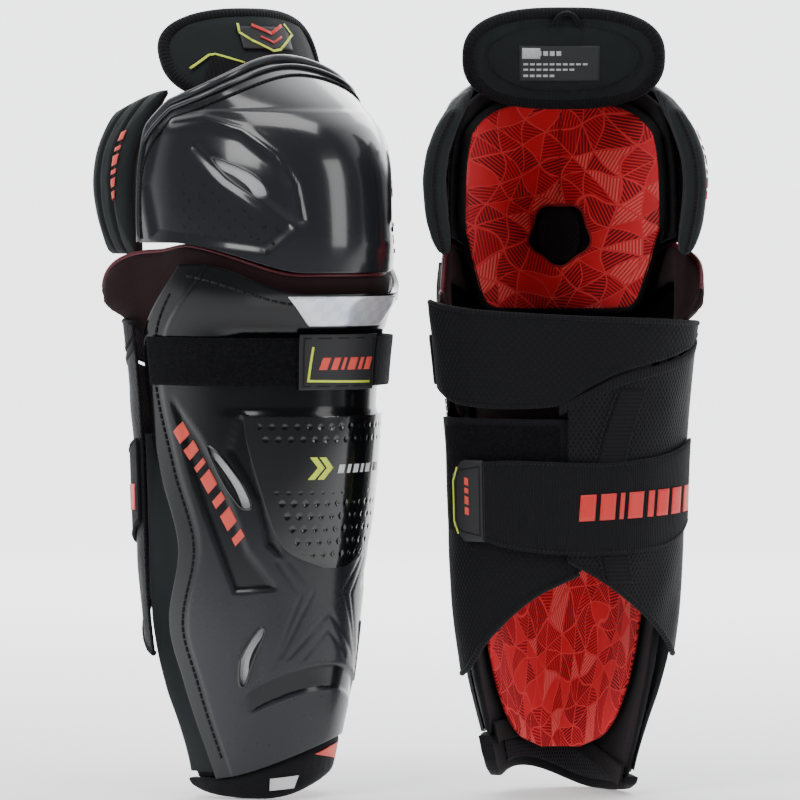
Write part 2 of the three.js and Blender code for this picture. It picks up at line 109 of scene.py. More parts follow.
def through(keys, at):
    """The height at a place of the smooth curve through the keys (place, height)."""
    last = len(keys) - 1
    i = 0
    while i < last - 1 and at > keys[i + 1][0]:
        i += 1

    def slope(k):
        a, b = keys[max(k - 1, 0)], keys[min(k + 1, last)]
        return (b[1] - a[1]) / (b[0] - a[0])

    (x0, y0), (x1, y1) = keys[i], keys[i + 1]
    t = clamp((at - x0) / (x1 - x0))
    ends = y0 * (2 * t**3 - 3 * t**2 + 1) + y1 * (3 * t**2 - 2 * t**3)
    return ends + (x1 - x0) * (slope(i) * (t**3 - 2 * t**2 + t) + slope(i + 1) * (t**3 - t**2))


def on_section(width, front, back, phi, z, off):
    """The point at phi and z, off mm outside the section."""
    a = math.radians(phi)
    depth = front if math.cos(a) >= 0 else back
    return Vector(((through(width, z) + off) * math.sin(a), -(through(depth, z) + off) * math.cos(a), z))


def on_shin(phi, z, off):
    return on_section(SHIN_WIDTH, SHIN_FRONT, SHIN_BACK, phi, z, off)


def on_knee(phi, z, off):
    return on_section(KNEE_WIDTH, KNEE_FRONT, KNEE_BACK, phi, z, off)


def on_flap(x, z, off):
    return Vector((x, -33 + 0.42 * (z - 454) + 0.006 * x * x + off, z))


def collar_top(phi):
    return 342 + 19 * step(abs(phi), 25, 75)


def shell_top(phi):
    return collar_top(phi) - 12


def shell_bottom(phi):
    return 12 + 28 * step(phi, -95, 40)


def shell_edge(phi):
    return shell_bottom(clamp(phi * 1.24, -90, 90))


def shell_reach(z):
    return through(SHELL_REACH, z)


def carrier_reach(z):
    return mix(shell_reach(z) + 18, 76, step(z, 228, 246))


def hem_low(phi):
    return 15 * math.cos(math.radians((phi - 40) * 90 / 75)) ** 2 if abs(phi - 40) < 75 else 0


def knee_top(phi):
    return KNEE_TOP - 20 * (phi / 70) ** 2


def arc(phi):
    """Distance round the leg from the front, on the wall's mean radius."""
    return math.radians(phi) * MEAN_RADIUS


def angle(x):
    """The phi that lies x round the leg from the front: the other way of arc()."""
    return math.degrees(x / MEAN_RADIUS)


# ---------- meshes ----------
class Guard:
    """One guard: where it stands, and the naming of its pieces and bodies."""

    def __init__(self, prefix):
        self.prefix = prefix
        x, y, turn = GUARDS[prefix]
        self.matrix = Matrix.Translation((x * MM, y * MM, 0)) @ Matrix.Rotation(math.radians(turn), 4, "Z")

    def world(self, p):
        return self.matrix @ (p * MM)

    def make(self, name, points, places, faces, material, body, slot, hide=False):
        """A piece from a mesh in the guard's frame. body "" leaves it to be put on its body later, and hide
        lets it stand for the CAD node of the same name."""
        mesh = bpy.data.meshes.new(self.prefix + name)
        mesh.from_pydata([self.world(p) for p in points], [], faces)
        mesh.validate()
        attribute = mesh.attributes.new("place", "FLOAT_VECTOR", "POINT")
        attribute.data.foreach_set("vector", [c * MM for place in places for c in place])
        for polygon in mesh.polygons:
            polygon.use_smooth = True
        obj = bpy.data.objects.new(self.prefix + "v_" + name, mesh)
        bpy.context.collection.objects.link(obj)
        mesh.materials.append(material)
        if hide:
            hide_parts(self.prefix + name)
        if body:
            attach(obj, self.prefix + body)
        return obj

    def stand_in(self, *piece):
        """A piece that stands for the CAD node of the same name."""
        return self.make(*piece, hide=True)


def slab(nu, nv, at, wrap=False):
    """Points, places and faces of a closed slab. at(u, v, side) gives the point and its place on the cloth,
    for side 0, the outer, and 1, the inner."""
    columns = nu if wrap else nu + 1
    points, places, faces = [], [], []
    for side in (0, 1):
        for j in range(nv + 1):
            for i in range(columns):
                p, place = at(i / nu, j / nv, side)
                points.append(p)
                places.append(place)
    half = columns * (nv + 1)

    def n(i, j, side):
        return side * half + j * columns + i % columns

    for j in range(nv):
        for i in range(nu):
            faces.append((n(i, j, 0), n(i + 1, j, 0), n(i + 1, j + 1, 0), n(i, j + 1, 0)))
            faces.append((n(i, j, 1), n(i, j + 1, 1), n(i + 1, j + 1, 1), n(i + 1, j, 1)))
    for i in range(nu):
        faces.append((n(i, 0, 1), n(i + 1, 0, 1), n(i + 1, 0, 0), n(i, 0, 0)))
        faces.append((n(i, nv, 0), n(i + 1, nv, 0), n(i + 1, nv, 1), n(i, nv, 1)))
    if not wrap:
        for j in range(nv):
            faces.append((n(0, j, 1), n(0, j, 0), n(0, j + 1, 0), n(0, j + 1, 1)))
            faces.append((n(nu, j, 0), n(nu, j, 1), n(nu, j + 1, 1), n(nu, j + 1, 0)))
    return points, places, faces


EDGE_PHI = 84  # the phi that a wall's height functions see at its side edges
ROUNDED_SHARE = 0.06  # how much of a layer's width its rounded rim takes


def layer(on, reach, low, high, off, relief=None, edge=0.0):
    """at() of a wall layer between the offsets off = (inner, outer). reach is (phi0, phi1), or a function of
    z that gives the half width. low and high are heights, or functions of phi. relief(phi, z) is added to the
    outer face, and edge is the share of the thickness that rounds off at the rims."""
    low_at = low if callable(low) else lambda phi: low
    high_at = high if callable(high) else lambda phi: high

    def at(u, v, side):
        if callable(reach):
            share = 2 * u - 1
            z = mix(low_at(share * EDGE_PHI), high_at(share * EDGE_PHI), v)
            phi = share * reach(z)
        else:
            phi = mix(reach[0], reach[1], u)
            z = mix(low_at(phi), high_at(phi), v)
        o = off[1] if side == 0 else off[0]
        if side == 0 and relief:
            o += relief(phi, z)
        if edge:
            rim = min(u, 1 - u, v, 1 - v)
            middle = (off[0] + off[1]) / 2
            o = mix(mix(o, middle, edge), o, math.sqrt(clamp(rim / ROUNDED_SHARE)))
        return on(phi, z, o), (arc(phi), z, o)

    return at


def tube(curve, radius, count, sides=8, closed=False):
    """Points, places and faces of a round bead along curve(t), t from 0 to 1."""
    points, places, faces = [], [], []
    length = 0.0
    last = None
    rows = count if closed else count + 1
    for i in range(rows):
        t = i / count
        centre = curve(t)
        if last is not None:
            length += (centre - last).length
        last = centre
        d = 0.25 / count
        ahead = (t + d) % 1 if closed else min(t + d, 1)
        behind = (t - d) % 1 if closed else max(t - d, 0)
        along = (curve(ahead) - curve(behind)).normalized()
        across = along.orthogonal() if abs(along.y) > 0.98 else Vector((0, -1, 0)).cross(along)
        across.normalize()
        third = along.cross(across)
        for k in range(sides):
            a = 2 * math.pi * k / sides
            points.append(centre + across * radius * math.cos(a) + third * radius * math.sin(a))
            places.append((length, radius * a, 0))
    for i in range(count):
        i1 = (i + 1) % rows
        for k in range(sides):
            k1 = (k + 1) % sides
            faces.append((i * sides + k, i * sides + k1, i1 * sides + k1, i1 * sides + k))
    if not closed:
        faces.append(tuple(range(sides - 1, -1, -1)))
        faces.append(tuple((rows - 1) * sides + k for k in range(sides)))
    return points, places, faces


def joined(parts):
    """Several (points, places, faces) as one."""
    points, places, faces = [], [], []
    for p, c, f in parts:
        base = len(points)
        points += p
        places += c
        faces += [tuple(i + base for i in face) for face in f]
    return points, places, faces


def bevel(obj, width, segments=2):
    """Rounds the sharp rims."""
    modifier = obj.modifiers.new("Rims", "BEVEL")
    modifier.width = width * MM
    modifier.segments = segments
    modifier.limit_method = "ANGLE"
    modifier.angle_limit = math.radians(50)
    return obj


# ---------- materials ----------
class Shader:
    """A node material under construction: link by plain calls, numbers and sockets alike."""

    def __init__(self, name):
        self.material = bpy.data.materials.new(name)
        self.material.use_nodes = True
        self.tree = self.material.node_tree
        self.out = self.tree.nodes["Principled BSDF"]
        place = self.tree.nodes.new("ShaderNodeAttribute")
        place.attribute_name = "place"
        self.place = place.outputs["Vector"]

    def feed(self, socket, value):
        """Links a socket to another, or sets its number, vector or colour."""
        if isinstance(value, bpy.types.NodeSocket):
            self.tree.links.new(value, socket)
        elif socket.type == "RGBA" and len(value) == 3:
            socket.default_value = (*value, 1)
        else:
            socket.default_value = value

    def node(self, kind, inputs=(), **settings):
        made = self.tree.nodes.new(kind)
        for key, value in settings.items():
            setattr(made, key, value)
        for key, value in dict(inputs).items():
            self.feed(made.inputs[key], value)
        return made

    def math(self, operation, a, b=0.0, c=0.0):
        return self.node("ShaderNodeMath", {0: a, 1: b, 2: c}, operation=operation).outputs[0]

    def split(self, vector):
        return self.node("ShaderNodeSeparateXYZ", {0: vector}).outputs

    def merge(self, x, y, z=0.0):
        return self.node("ShaderNodeCombineXYZ", {0: x, 1: y, 2: z}).outputs[0]

    def noise(self, scale, detail=3.0):
        inputs = {"Vector": self.place, "Scale": scale, "Detail": detail}
        return self.node("ShaderNodeTexNoise", inputs).outputs["Fac"]

    def vector_math(self, operation, a, b):
        return self.node("ShaderNodeVectorMath", {0: a, 1: b}, operation=operation).outputs

    def map_range(self, value, low, high, to_low, to_high):
        inputs = {0: value, 1: low, 2: high, 3: to_low, 4: to_high}
        return self.node("ShaderNodeMapRange", inputs).outputs[0]

    def ramp(self, value, stops):
        made = self.node("ShaderNodeValToRGB", {"Fac": value})
        ramp = made.color_ramp
        while len(ramp.elements) < len(stops):
            ramp.elements.new(0.5)
        for element, (at, colour) in zip(ramp.elements, stops):
            element.position = at
            element.color = (*colour, 1)
        return made.outputs["Color"]

    def blend(self, share, a, b):
        made = self.node("ShaderNodeMix", data_type="RGBA")
        sockets = [i for i in made.inputs if i.enabled and i.type == "RGBA"]
        for socket, value in [(made.inputs[0], share), (sockets[0], a), (sockets[1], b)]:
            self.feed(socket, value)
        return next(o for o in made.outputs if o.enabled)

    def stripes(self, along, pitch, low=0.0, high=1.0):
        """A smooth wave from low to high along a coordinate, once per pitch in metres."""
        wave = self.math("SINE", self.math("MULTIPLY", along, 2 * math.pi / pitch))
        return self.math("MULTIPLY_ADD", wave, (high - low) / 2, (high + low) / 2)

    def surface(self, colour, roughness, height=None, strength=0.4, depth=0.0004, **values):
        """Feeds the shader. height is raised by a bump of this strength and depth, in metres."""
        for key, value in {"Base_Color": colour, "Roughness": roughness, **values}.items():
            self.feed(self.out.inputs[key.replace("_", " ")], value)
        if height is not None:
            made = self.node("ShaderNodeBump", {"Height": height, "Strength": strength, "Distance": depth})
            self.tree.links.new(made.outputs[0], self.out.inputs["Normal"])
        return self.material


def cloth(name, dark, light, pitch=0.0016, rough=0.85, sheen=0.25, strength=0.6, ribs=None):
    """Knitted or woven cloth: a fine crossing weave, mottled colour and a little sheen. ribs is the pitch of
    cords across it."""
    s = Shader(name)
    x, y, _ = s.split(s.place)
    warp = s.stripes(s.math("ADD", x, y), pitch)
    weft = s.stripes(s.math("SUBTRACT", x, y), pitch)
    weave = s.math("MULTIPLY", warp, weft)
    height = weave
    if ribs:
        height = s.math("MULTIPLY_ADD", s.stripes(x, ribs), 2.0, weave)
    mottle = s.noise(90, 4)
    share = s.math("MULTIPLY_ADD", weave, 0.5, s.math("MULTIPLY", mottle, 0.6))
    if ribs:
        share = s.math("MULTIPLY", share, s.stripes(x, ribs, 0.35, 1.25))
    colour = s.blend(share, dark, light)
    roughness = s.math("MULTIPLY_ADD", mottle, 0.15, rough - 0.08)
    return s.surface(
        colour, roughness, height, strength, 0.0003,
        Sheen_Weight=sheen, Sheen_Roughness=0.5, Specular_IOR_Level=0.2,
    )


def pile(name, dark, light):
    """Loop pile: tangled small loops."""
    s = Shader(name)
    cells = s.node("ShaderNodeTexVoronoi", {"Vector": s.place, "Scale": 900.0}).outputs["Distance"]
    fluff = s.noise(420, 6)
    colour = s.blend(s.math("MULTIPLY", fluff, cells), dark, light)
    height = s.math("ADD", cells, fluff)
    return s.surface(colour, 0.97, height, 0.8, 0.0006, Sheen_Weight=0.02, Specular_IOR_Level=0.1)


def plastic(name, dark, light, rough, fade=None, coat=0.5, bend=1.5):
    """Moulded plastic: colour that drifts a little, fine scuffs in its gloss. fade is (low z, high z, colour,
    roughness) of a paler, duller lower end, which leaves the sunk parts of the relief dark."""
    s = Shader(name)
    drift = s.noise(14, 2)
    scuff = s.noise(260, 6)
    colour = s.blend(drift, dark, light)
    roughness = s.math("MULTIPLY_ADD", scuff, 0.10, rough)
    if fade:
        low, high, pale, dull = fade
        _, z, deep = s.split(s.place)
        paling = s.map_range(z, low * MM, high * MM, 1.0, 0.0)
        raised = s.map_range(deep, -1.3 * MM, -0.5 * MM, 0.1, 1.0)
        share = s.math("MULTIPLY", paling, raised)
        colour = s.blend(share, colour, pale)
        roughness = s.math("MULTIPLY_ADD", share, dull, roughness)
    return s.surface(colour, roughness, scuff, 0.05, 0.0001, Coat_Weight=coat, Coat_Roughness=0.08, IOR=bend)


def hatched(name):
    """The liner's print: red triangles, each hatched its own way in pale or dark lines, with pale borders."""
    triangle, hatch, weft = 0.0165, 0.0021, 0.0011  # pitches in metres
    s = Shader(name)
    warp = s.node("ShaderNodeTexNoise", {"Vector": s.place, "Scale": 28.0, "Detail": 0.0}).outputs["Color"]
    shift = s.vector_math("MULTIPLY", warp, (0.030, 0.030, 0))[0]
    bent = s.vector_math("ADD", s.place, shift)[0]
    lattice = []
    edges = None
    for degrees in (10, 70, 130):
        a = math.radians(degrees)
        across = s.vector_math("DOT_PRODUCT", bent, (math.cos(a), math.sin(a), 0))["Value"]
        scaled = s.math("DIVIDE", across, triangle)
        lattice.append(s.math("FLOOR", scaled))
        near = s.math("ABSOLUTE", s.math("SUBTRACT", s.math("FRACT", scaled), 0.5))
        edges = near if edges is None else s.math("MAXIMUM", edges, near)
    chance = s.node("ShaderNodeTexWhiteNoise", {"Vector": s.merge(*lattice)}, noise_dimensions="3D").outputs
    turn = s.math("MULTIPLY", chance["Value"], 2 * math.pi)
    x, y, _ = s.split(s.place)
    along_x = s.math("MULTIPLY", x, s.math("COSINE", turn))
    along_y = s.math("MULTIPLY", y, s.math("SINE", turn))
    line = s.math("GREATER_THAN", s.stripes(s.math("ADD", along_x, along_y), hatch), 0.52)
    ink_chance, deepness, shown = s.split(chance["Color"])
    red = s.blend(s.noise(60, 3), (0.80, 0.016, 0.028), (0.95, 0.040, 0.052))
    red = s.blend(s.math("MULTIPLY", deepness, 0.15), red, (0.45, 0.006, 0.014))
    mid_ink, dark_ink, light_ink = (0.26, 0.003, 0.009), (0.030, 0.001, 0.003), (0.98, 0.20, 0.17)
    ink = s.blend(s.math("GREATER_THAN", ink_chance, 0.55), mid_ink, dark_ink)
    ink = s.blend(s.math("LESS_THAN", ink_chance, 0.16), ink, light_ink)
    show = s.math("MULTIPLY", line, s.math("GREATER_THAN", shown, 0.18))
    show = s.math("MULTIPLY", show, s.math("LESS_THAN", edges, 0.46))
    colour = s.blend(s.math("MULTIPLY", show, 0.9), red, ink)
    border = s.math("MULTIPLY", s.math("GREATER_THAN", edges, 0.484), 0.45)
    colour = s.blend(border, colour, (0.98, 0.14, 0.13))
    weave = s.math("MULTIPLY", s.stripes(x, weft), s.stripes(y, weft))
    return s.surface(colour, 0.88, weave, 0.5, 0.0003, Sheen_Weight=0.08, Specular_IOR_Level=0.25)


def netting(name, thread, gap, pitch):
    """Woven mesh: slanting threads over dark or pale gaps."""
    s = Shader(name)
    x, y, _ = s.split(s.place)
    slant = s.math("MULTIPLY", y, 0.7)
    net = s.math("MAXIMUM", *(s.stripes(s.math(way, x, slant), pitch) for way in ("ADD", "SUBTRACT")))
    colour = s.blend(s.math("GREATER_THAN", net, 0.72), gap, thread)
    shade = s.blend(s.math("MULTIPLY", s.noise(40, 3), 0.35), colour, gap)
    return s.surface(shade, 0.6, net, 0.7, 0.0004, Sheen_Weight=0.02, Specular_IOR_Level=0.15)


def foil(name):
    """Bright plate with a faint diagonal rainbow and small squares in it."""
    s = Shader(name)
    x, y, _ = s.split(s.place)
    inputs = {"Vector": s.place, "Scale": 160.0, "Color1": (0.86, 0.87, 0.9), "Color2": (0.68, 0.71, 0.78)}
    squares = s.node("ShaderNodeTexChecker", inputs).outputs["Color"]
    sweep = s.math("FRACT", s.math("MULTIPLY", s.math("ADD", x, y), 14.0))
    silver, blue, white, pink = (0.85, 0.88, 0.95), (0.6, 0.72, 0.95), (0.9, 0.9, 0.92), (0.95, 0.75, 0.86)
    rainbow = s.ramp(sweep, [(0.0, silver), (0.3, blue), (0.55, white), (0.8, pink), (1.0, silver)])
    colour = s.blend(0.4, squares, rainbow)
    roughness = s.math("MULTIPLY_ADD", s.noise(300), 0.12, 0.12)
    return s.surface(colour, roughness, s.noise(500), 0.05, 0.0001, Metallic=0.45, Coat_Weight=0.6)


def printed(name, colour, rough=0.5):
    """Printed or stitched marks: one ink with slight wear."""
    s = Shader(name)
    worn = s.blend(s.math("MULTIPLY", s.noise(600, 5), 0.35), colour, tuple(c * 0.55 for c in colour))
    return s.surface(worn, rough, s.noise(900), 0.15, 0.0001)


SHELL_FADE = (110, 240, (0.018, 0.0195, 0.024), 0.12)
SHELL = plastic("shell", (0.003, 0.0032, 0.0038), (0.006, 0.0065, 0.0075), 0.12, SHELL_FADE, 0.1, 1.4)
GLOSS = plastic("gloss_black", (0.002, 0.0022, 0.0026), (0.004, 0.0044, 0.005), 0.12, coat=0.6)
CAP = plastic("knee_plastic", (0.013, 0.014, 0.0165), (0.021, 0.022, 0.026), 0.14, coat=0.45)
PIPING = plastic("piping", (0.02, 0.022, 0.026), (0.05, 0.054, 0.06), 0.2, coat=0.4)
FOIL = foil("foil")
MESH = netting("vent_mesh", (0.96, 0.96, 0.98), (0.34, 0.34, 0.37), 0.0014)
NET = netting("open_mesh", (0.009, 0.009, 0.011), (0.0006, 0.0006, 0.0008), 0.0036)
HEM_NET = netting("hem_mesh", (0.035, 0.035, 0.04), (0.0012, 0.0012, 0.0015), 0.0034)
FINE_NET = netting("hole_mesh", (0.022, 0.022, 0.026), (0.002, 0.002, 0.002), 0.0026)
MAROON = cloth("collar_cloth", (0.006, 0.0012, 0.002), (0.020, 0.003, 0.005), 0.0014, sheen=0.05)
RIM_RED = printed("rim_red", (0.10, 0.004, 0.012))
BLACK = cloth("black_cloth", (0.002, 0.002, 0.003), (0.008, 0.008, 0.010), 0.0018, sheen=0.06)
GREY = cloth("grey_cloth", (0.008, 0.010, 0.011), (0.020, 0.024, 0.026), 0.0012, sheen=0.06, strength=0.3)
NEOPRENE = cloth("neoprene", (0.002, 0.002, 0.003), (0.007, 0.007, 0.010), 0.0052, sheen=0.04, strength=0.9)
PILE = pile("loop_pile", (0.0008, 0.0008, 0.001), (0.014, 0.014, 0.017))
RIBBED = cloth(
    "ribbed_binding", (0.0015, 0.0015, 0.002), (0.011, 0.011, 0.014), 0.0012, sheen=0.05, ribs=0.0026,
)
WEBBING = cloth("webbing", (0.002, 0.002, 0.003), (0.009, 0.009, 0.012), 0.0022, sheen=0.05, ribs=0.0018)
LINER = hatched("liner_print")
CORAL = printed("coral_ink", (0.80, 0.085, 0.06))
RED = printed("red_ink", (0.70, 0.03, 0.025))
LIME = printed("lime_ink", (0.70, 0.85, 0.06))
WHITE = printed("white_ink", (0.75, 0.75, 0.76))
THREAD = printed("black_thread", (0.003, 0.003, 0.0035), 0.9)
RED_THREAD = printed("red_thread", (0.35, 0.01, 0.015), 0.7)
GREY_INK = printed("grey_ink", (0.62, 0.63, 0.66))
LABEL = printed("label_cloth", (0.022, 0.023, 0.026), 0.6)
RUBBER = plastic("soft_rubber", (0.008, 0.008, 0.010), (0.016, 0.016, 0.019), 0.5, coat=0.0)


# ---------- hard pieces ----------
def dimple(x, y, pitch, radius, depth):
    """A pressed-in diamond in a staggered grid, as a drop in height at x, y."""
    row = round(y / pitch)
    shift = 0.5 * pitch if row % 2 else 0.0
    column = round((x - shift) / pitch)
    far = abs(x - shift - column * pitch) + abs(y - row * pitch)
    return -depth * step(radius - far, 0, radius * 0.6)


def crease(x, soft=1.2):
    """0 below an edge and 1 above it, with a short slope between."""
    return step(x, -soft, soft)


def to_line(x, y, path):
    """Distance from a point to a path."""
    nearest = 1e9
    for (ax, ay), (bx, by) in zip(path, path[1:]):
        dx, dy = bx - ax, by - ay
        t = clamp(((x - ax) * dx + (y - ay) * dy) / (dx * dx + dy * dy))
        nearest = min(nearest, math.hypot(x - ax - t * dx, y - ay - t * dy))
    return nearest


def inside(x, y, outline):
    """How far a point lies inside an outline, negative outside."""
    within = False
    for (ax, ay), (bx, by) in zip(outline, outline[1:] + outline[:1]):
        if (ay > y) != (by > y) and x < ax + (y - ay) * (bx - ax) / (by - ay):
            within = not within
    far = to_line(x, y, outline + outline[:1])
    return far if within else -far


def rounds(path):
    """A path given as (phi, z), as distances round the leg."""
    return [(arc(phi), z) for phi, z in path]


# Lines of the shell's sculpture, as (phi, z).
BLADE = rounds([(78, 262), (70, 215), (64, 190), (49, 137), (30, 139), (44, 163), (53, 196), (66, 236)])
PANEL_STEP = rounds([(49, 252), (53, 228), (40, 196), (35, 168), (28, 160), (36, 190), (43, 222), (46, 250)])
CHEVRONS = [
    rounds([(30, 157), (17, 134), (31, 88)]),
    rounds([(24, 157), (10, 137), (27, 95)]),
    rounds([(0, 123), (23, 94)]),
    rounds([(0, 112), (15, 93)]),
]


def shin_relief(phi, z):
    """The shell's sculpture: a blade down each flank, a step beside the panel, thin chevrons and a sunk band
    below them, and a lip over the badge."""
    side = abs(phi)
    x = arc(side)
    lip = 2.4 * step(z, 322, 329) * (1 - step(side, 30, 50))
    shoulder = -1.6 * step(z, 250, 256) * (1 - step(z, 302, 308)) * (1 - step(side, 44, 60))
    blade = -1.5 * crease(inside(x, z, BLADE), 1.5) if 130 < z < 266 else 0.0
    steps = -1.3 * crease(inside(x, z, PANEL_STEP), 1.2) if 156 < z < 256 else 0.0
    lines = 0.0
    if 84 < z < 162 and side < 36:
        lines = -0.5 * bump(min(to_line(x, z, path) for path in CHEVRONS), 0, 1.1)
    over, under = crease(z - 73 + 0.0085 * side**2), crease(89 - 0.01 * side**2 - z)
    band = -1.6 * over * under * (1 - step(side, 36, 50))
    hollow = -1.0 * bump(side, 42, 8) * bump(z, 94, 28)
    edge = -0.9 * crease(side - shell_reach(z) + 11)
    return lip + shoulder + blade + steps + lines + band + hollow + edge


# Lines of the knee cap's sculpture, as (phi, z).
VENT_ARC = rounds([(76, 441), (62, 444), (46, 436), (34, 420), (28, 400), (26, 378)])
VENT_BOWL = rounds([
    (84, 436), (64, 438), (48, 430), (37, 416), (31, 398), (29, 372), (40, 358), (84, 368), (88, 400),
])
VENT_GROOVE = rounds([(66, 424), (54, 404), (40, 388), (31, 376)])
PITTED = rounds([(86, 405), (70, 412), (56, 392), (42, 380), (44, 364), (84, 370)])


def knee_relief(phi, z):
    """The cap's sculpture: a brow crease, a raised arc round each vent, and a groove the vent lies in."""
    side = abs(phi)
    x = arc(side)
    brow = -0.8 * step(z, 447, 450) * (1 - step(side, 62, 76))
    ridge = 1.5 * bump(to_line(x, z, VENT_ARC), 0, 2.6) if side < 92 else 0.0
    bowl = -1.3 * crease(inside(x, z, VENT_BOWL), 4)
    groove = -1.2 * bump(to_line(x, z, VENT_GROOVE), 0, 3.2) if side < 92 else 0.0
    return brow + ridge + bowl + groove


def panel_relief(phi, z):
    """A crown along the middle, and dimples at the top and near the bottom."""
    half = through(PANEL_REACH, z)
    crown = 0.8 * (1 - abs(phi) / half)
    top = dimple(arc(phi), z - 236, 8.3, 2.5, 0.36) if z > 230 and abs(phi) < half - 6 else 0.0
    low = dimple(arc(phi), z - 236, 8.3, 2.6, 0.42) if 157 < z < 202 and abs(phi) < half - 5 else 0.0
    return crown + top + low


def piercing(guard, name, on, outline):
    """A cutter through a wall. It isn't part of the guard and is removed after use."""
    points = [on(phi, z, off) for off in (9, -10) for phi, z in outline]
    n = len(outline)
    faces = [tuple(range(n)), tuple(range(2 * n - 1, n - 1, -1))]
    faces += [(i, n + i, n + (i + 1) % n, (i + 1) % n) for i in range(n)]
    mesh = bpy.data.meshes.new(name)
    mesh.from_pydata([guard.world(p) for p in points], [], faces)
    work = bmesh.new()
    work.from_mesh(mesh)
    bmesh.ops.recalc_face_normals(work, faces=work.faces)
    work.to_mesh(mesh)
    work.free()
    obj = bpy.data.objects.new(name, mesh)
    bpy.context.collection.objects.link(obj)
    return obj


def rounded_outline(outline, times=2):
    """Corner cutting: a smooth closed outline from a few points."""
    for _ in range(times):
        cut = []
        for i, (x0, y0) in enumerate(outline):
            x1, y1 = outline[(i + 1) % len(outline)]
            cut += [(mix(x0, x1, 0.2), mix(y0, y1, 0.2)), (mix(x0, x1, 0.8), mix(y0, y1, 0.8))]
        outline = cut
    return outline


def place_again(obj, guard, width, front, relief):
    """Writes the places of a pierced wall anew, from where its points are, with the relief third."""
    back = guard.matrix.inverted()
    places = []
    for vertex in obj.data.vertices:
        x, y, z = back @ vertex.co / MM
        phi = math.degrees(math.atan2(x / through(width, z), -y / through(front, z)))
        places += [arc(phi) * MM, z * MM, relief(phi, z) * MM]
    old = obj.data.attributes.get("place")
    if old:
        obj.data.attributes.remove(old)
    obj.data.attributes.new("place", "FLOAT_VECTOR", "POINT").data.foreach_set("vector", places)


def pierce(obj, guard, on, outlines):
    """Cuts windows through a shell, for good."""
    for outline in outlines:
        for side in (1, -1):
            around = [(side * phi, z) for phi, z in rounded_outline(outline)]
            tool = piercing(guard, "cutter", on, around)
            modifier = obj.modifiers.new("Window", "BOOLEAN")
            modifier.object = tool
            modifier.operation = "DIFFERENCE"
            modifier.solver = "EXACT"
            bpy.context.view_layer.objects.active = obj
            bpy.ops.object.modifier_apply(modifier="Window")
            bpy.data.objects.remove(tool, do_unlink=True)
    return obj


def window_lips(guard, name, on, outlines, material, body, relief):
    """A thin moulded lip round each window, on both sides."""
    parts = []
    for outline in outlines:
        for side in (1, -1):
            around = rounded_outline([(side * phi, z) for phi, z in outline], 3)

            def curve(t, around=around):
                at = t * len(around)
                i = int(at) % len(around)
                (a0, z0), (a1, z1) = around[i], around[(i + 1) % len(around)]
                f = at - int(at)
                phi, z = mix(a0, a1, f), mix(z0, z1, f)
                return on(phi, z, relief(phi, z) + 0.1)

            parts.append(tube(curve, 0.9, 40, 6, closed=True))
    return guard.make(name, *joined(parts), material, body, "shell_plastic")


def vent_shade(guard, name, on, outline, shift, body):
    """A dark sheet just inside part of each window: painted shade that stands for the shadowed undercut of the
    window.
    """
    parts = []
    for side in (1, -1):
        around = rounded_outline([(side * (phi + shift[0]), z + shift[1]) for phi, z in outline])
        n = len(around)
        middle = (sum(p[0] for p in around) / n, sum(p[1] for p in around) / n)
        points = [on(phi, z, off) for off in (-3.1, -3.7) for phi, z in around]
        points += [on(*middle, off) for off in (-3.1, -3.7)]
        faces = [(i, (i + 1) % n, 2 * n) for i in range(n)]
        faces += [(n + (i + 1) % n, n + i, 2 * n + 1) for i in range(n)]
        faces += [(n + i, n + (i + 1) % n, (i + 1) % n, i) for i in range(n)]
        parts.append((points, [(p.x, p.z, p.y) for p in points], faces))
    return guard.make(name, *joined(parts), RUBBER, body, "shell_plastic")


def stitches(guard, name, curve, count, body, length=0.8, radius=0.8, material=THREAD, slot="black_fabric"):
    """A row of separate stitches along a curve, each a short bead that takes this length of its share."""
    parts = []
    for i in range(count):
        a, b = (curve((i + 0.5 + half * length) / count) for half in (-0.5, 0.5))
        parts.append(tube(lambda t, a=a, b=b: a.lerp(b, t), radius, 2, 6))
    return guard.make(name, *joined(parts), material, body, slot)


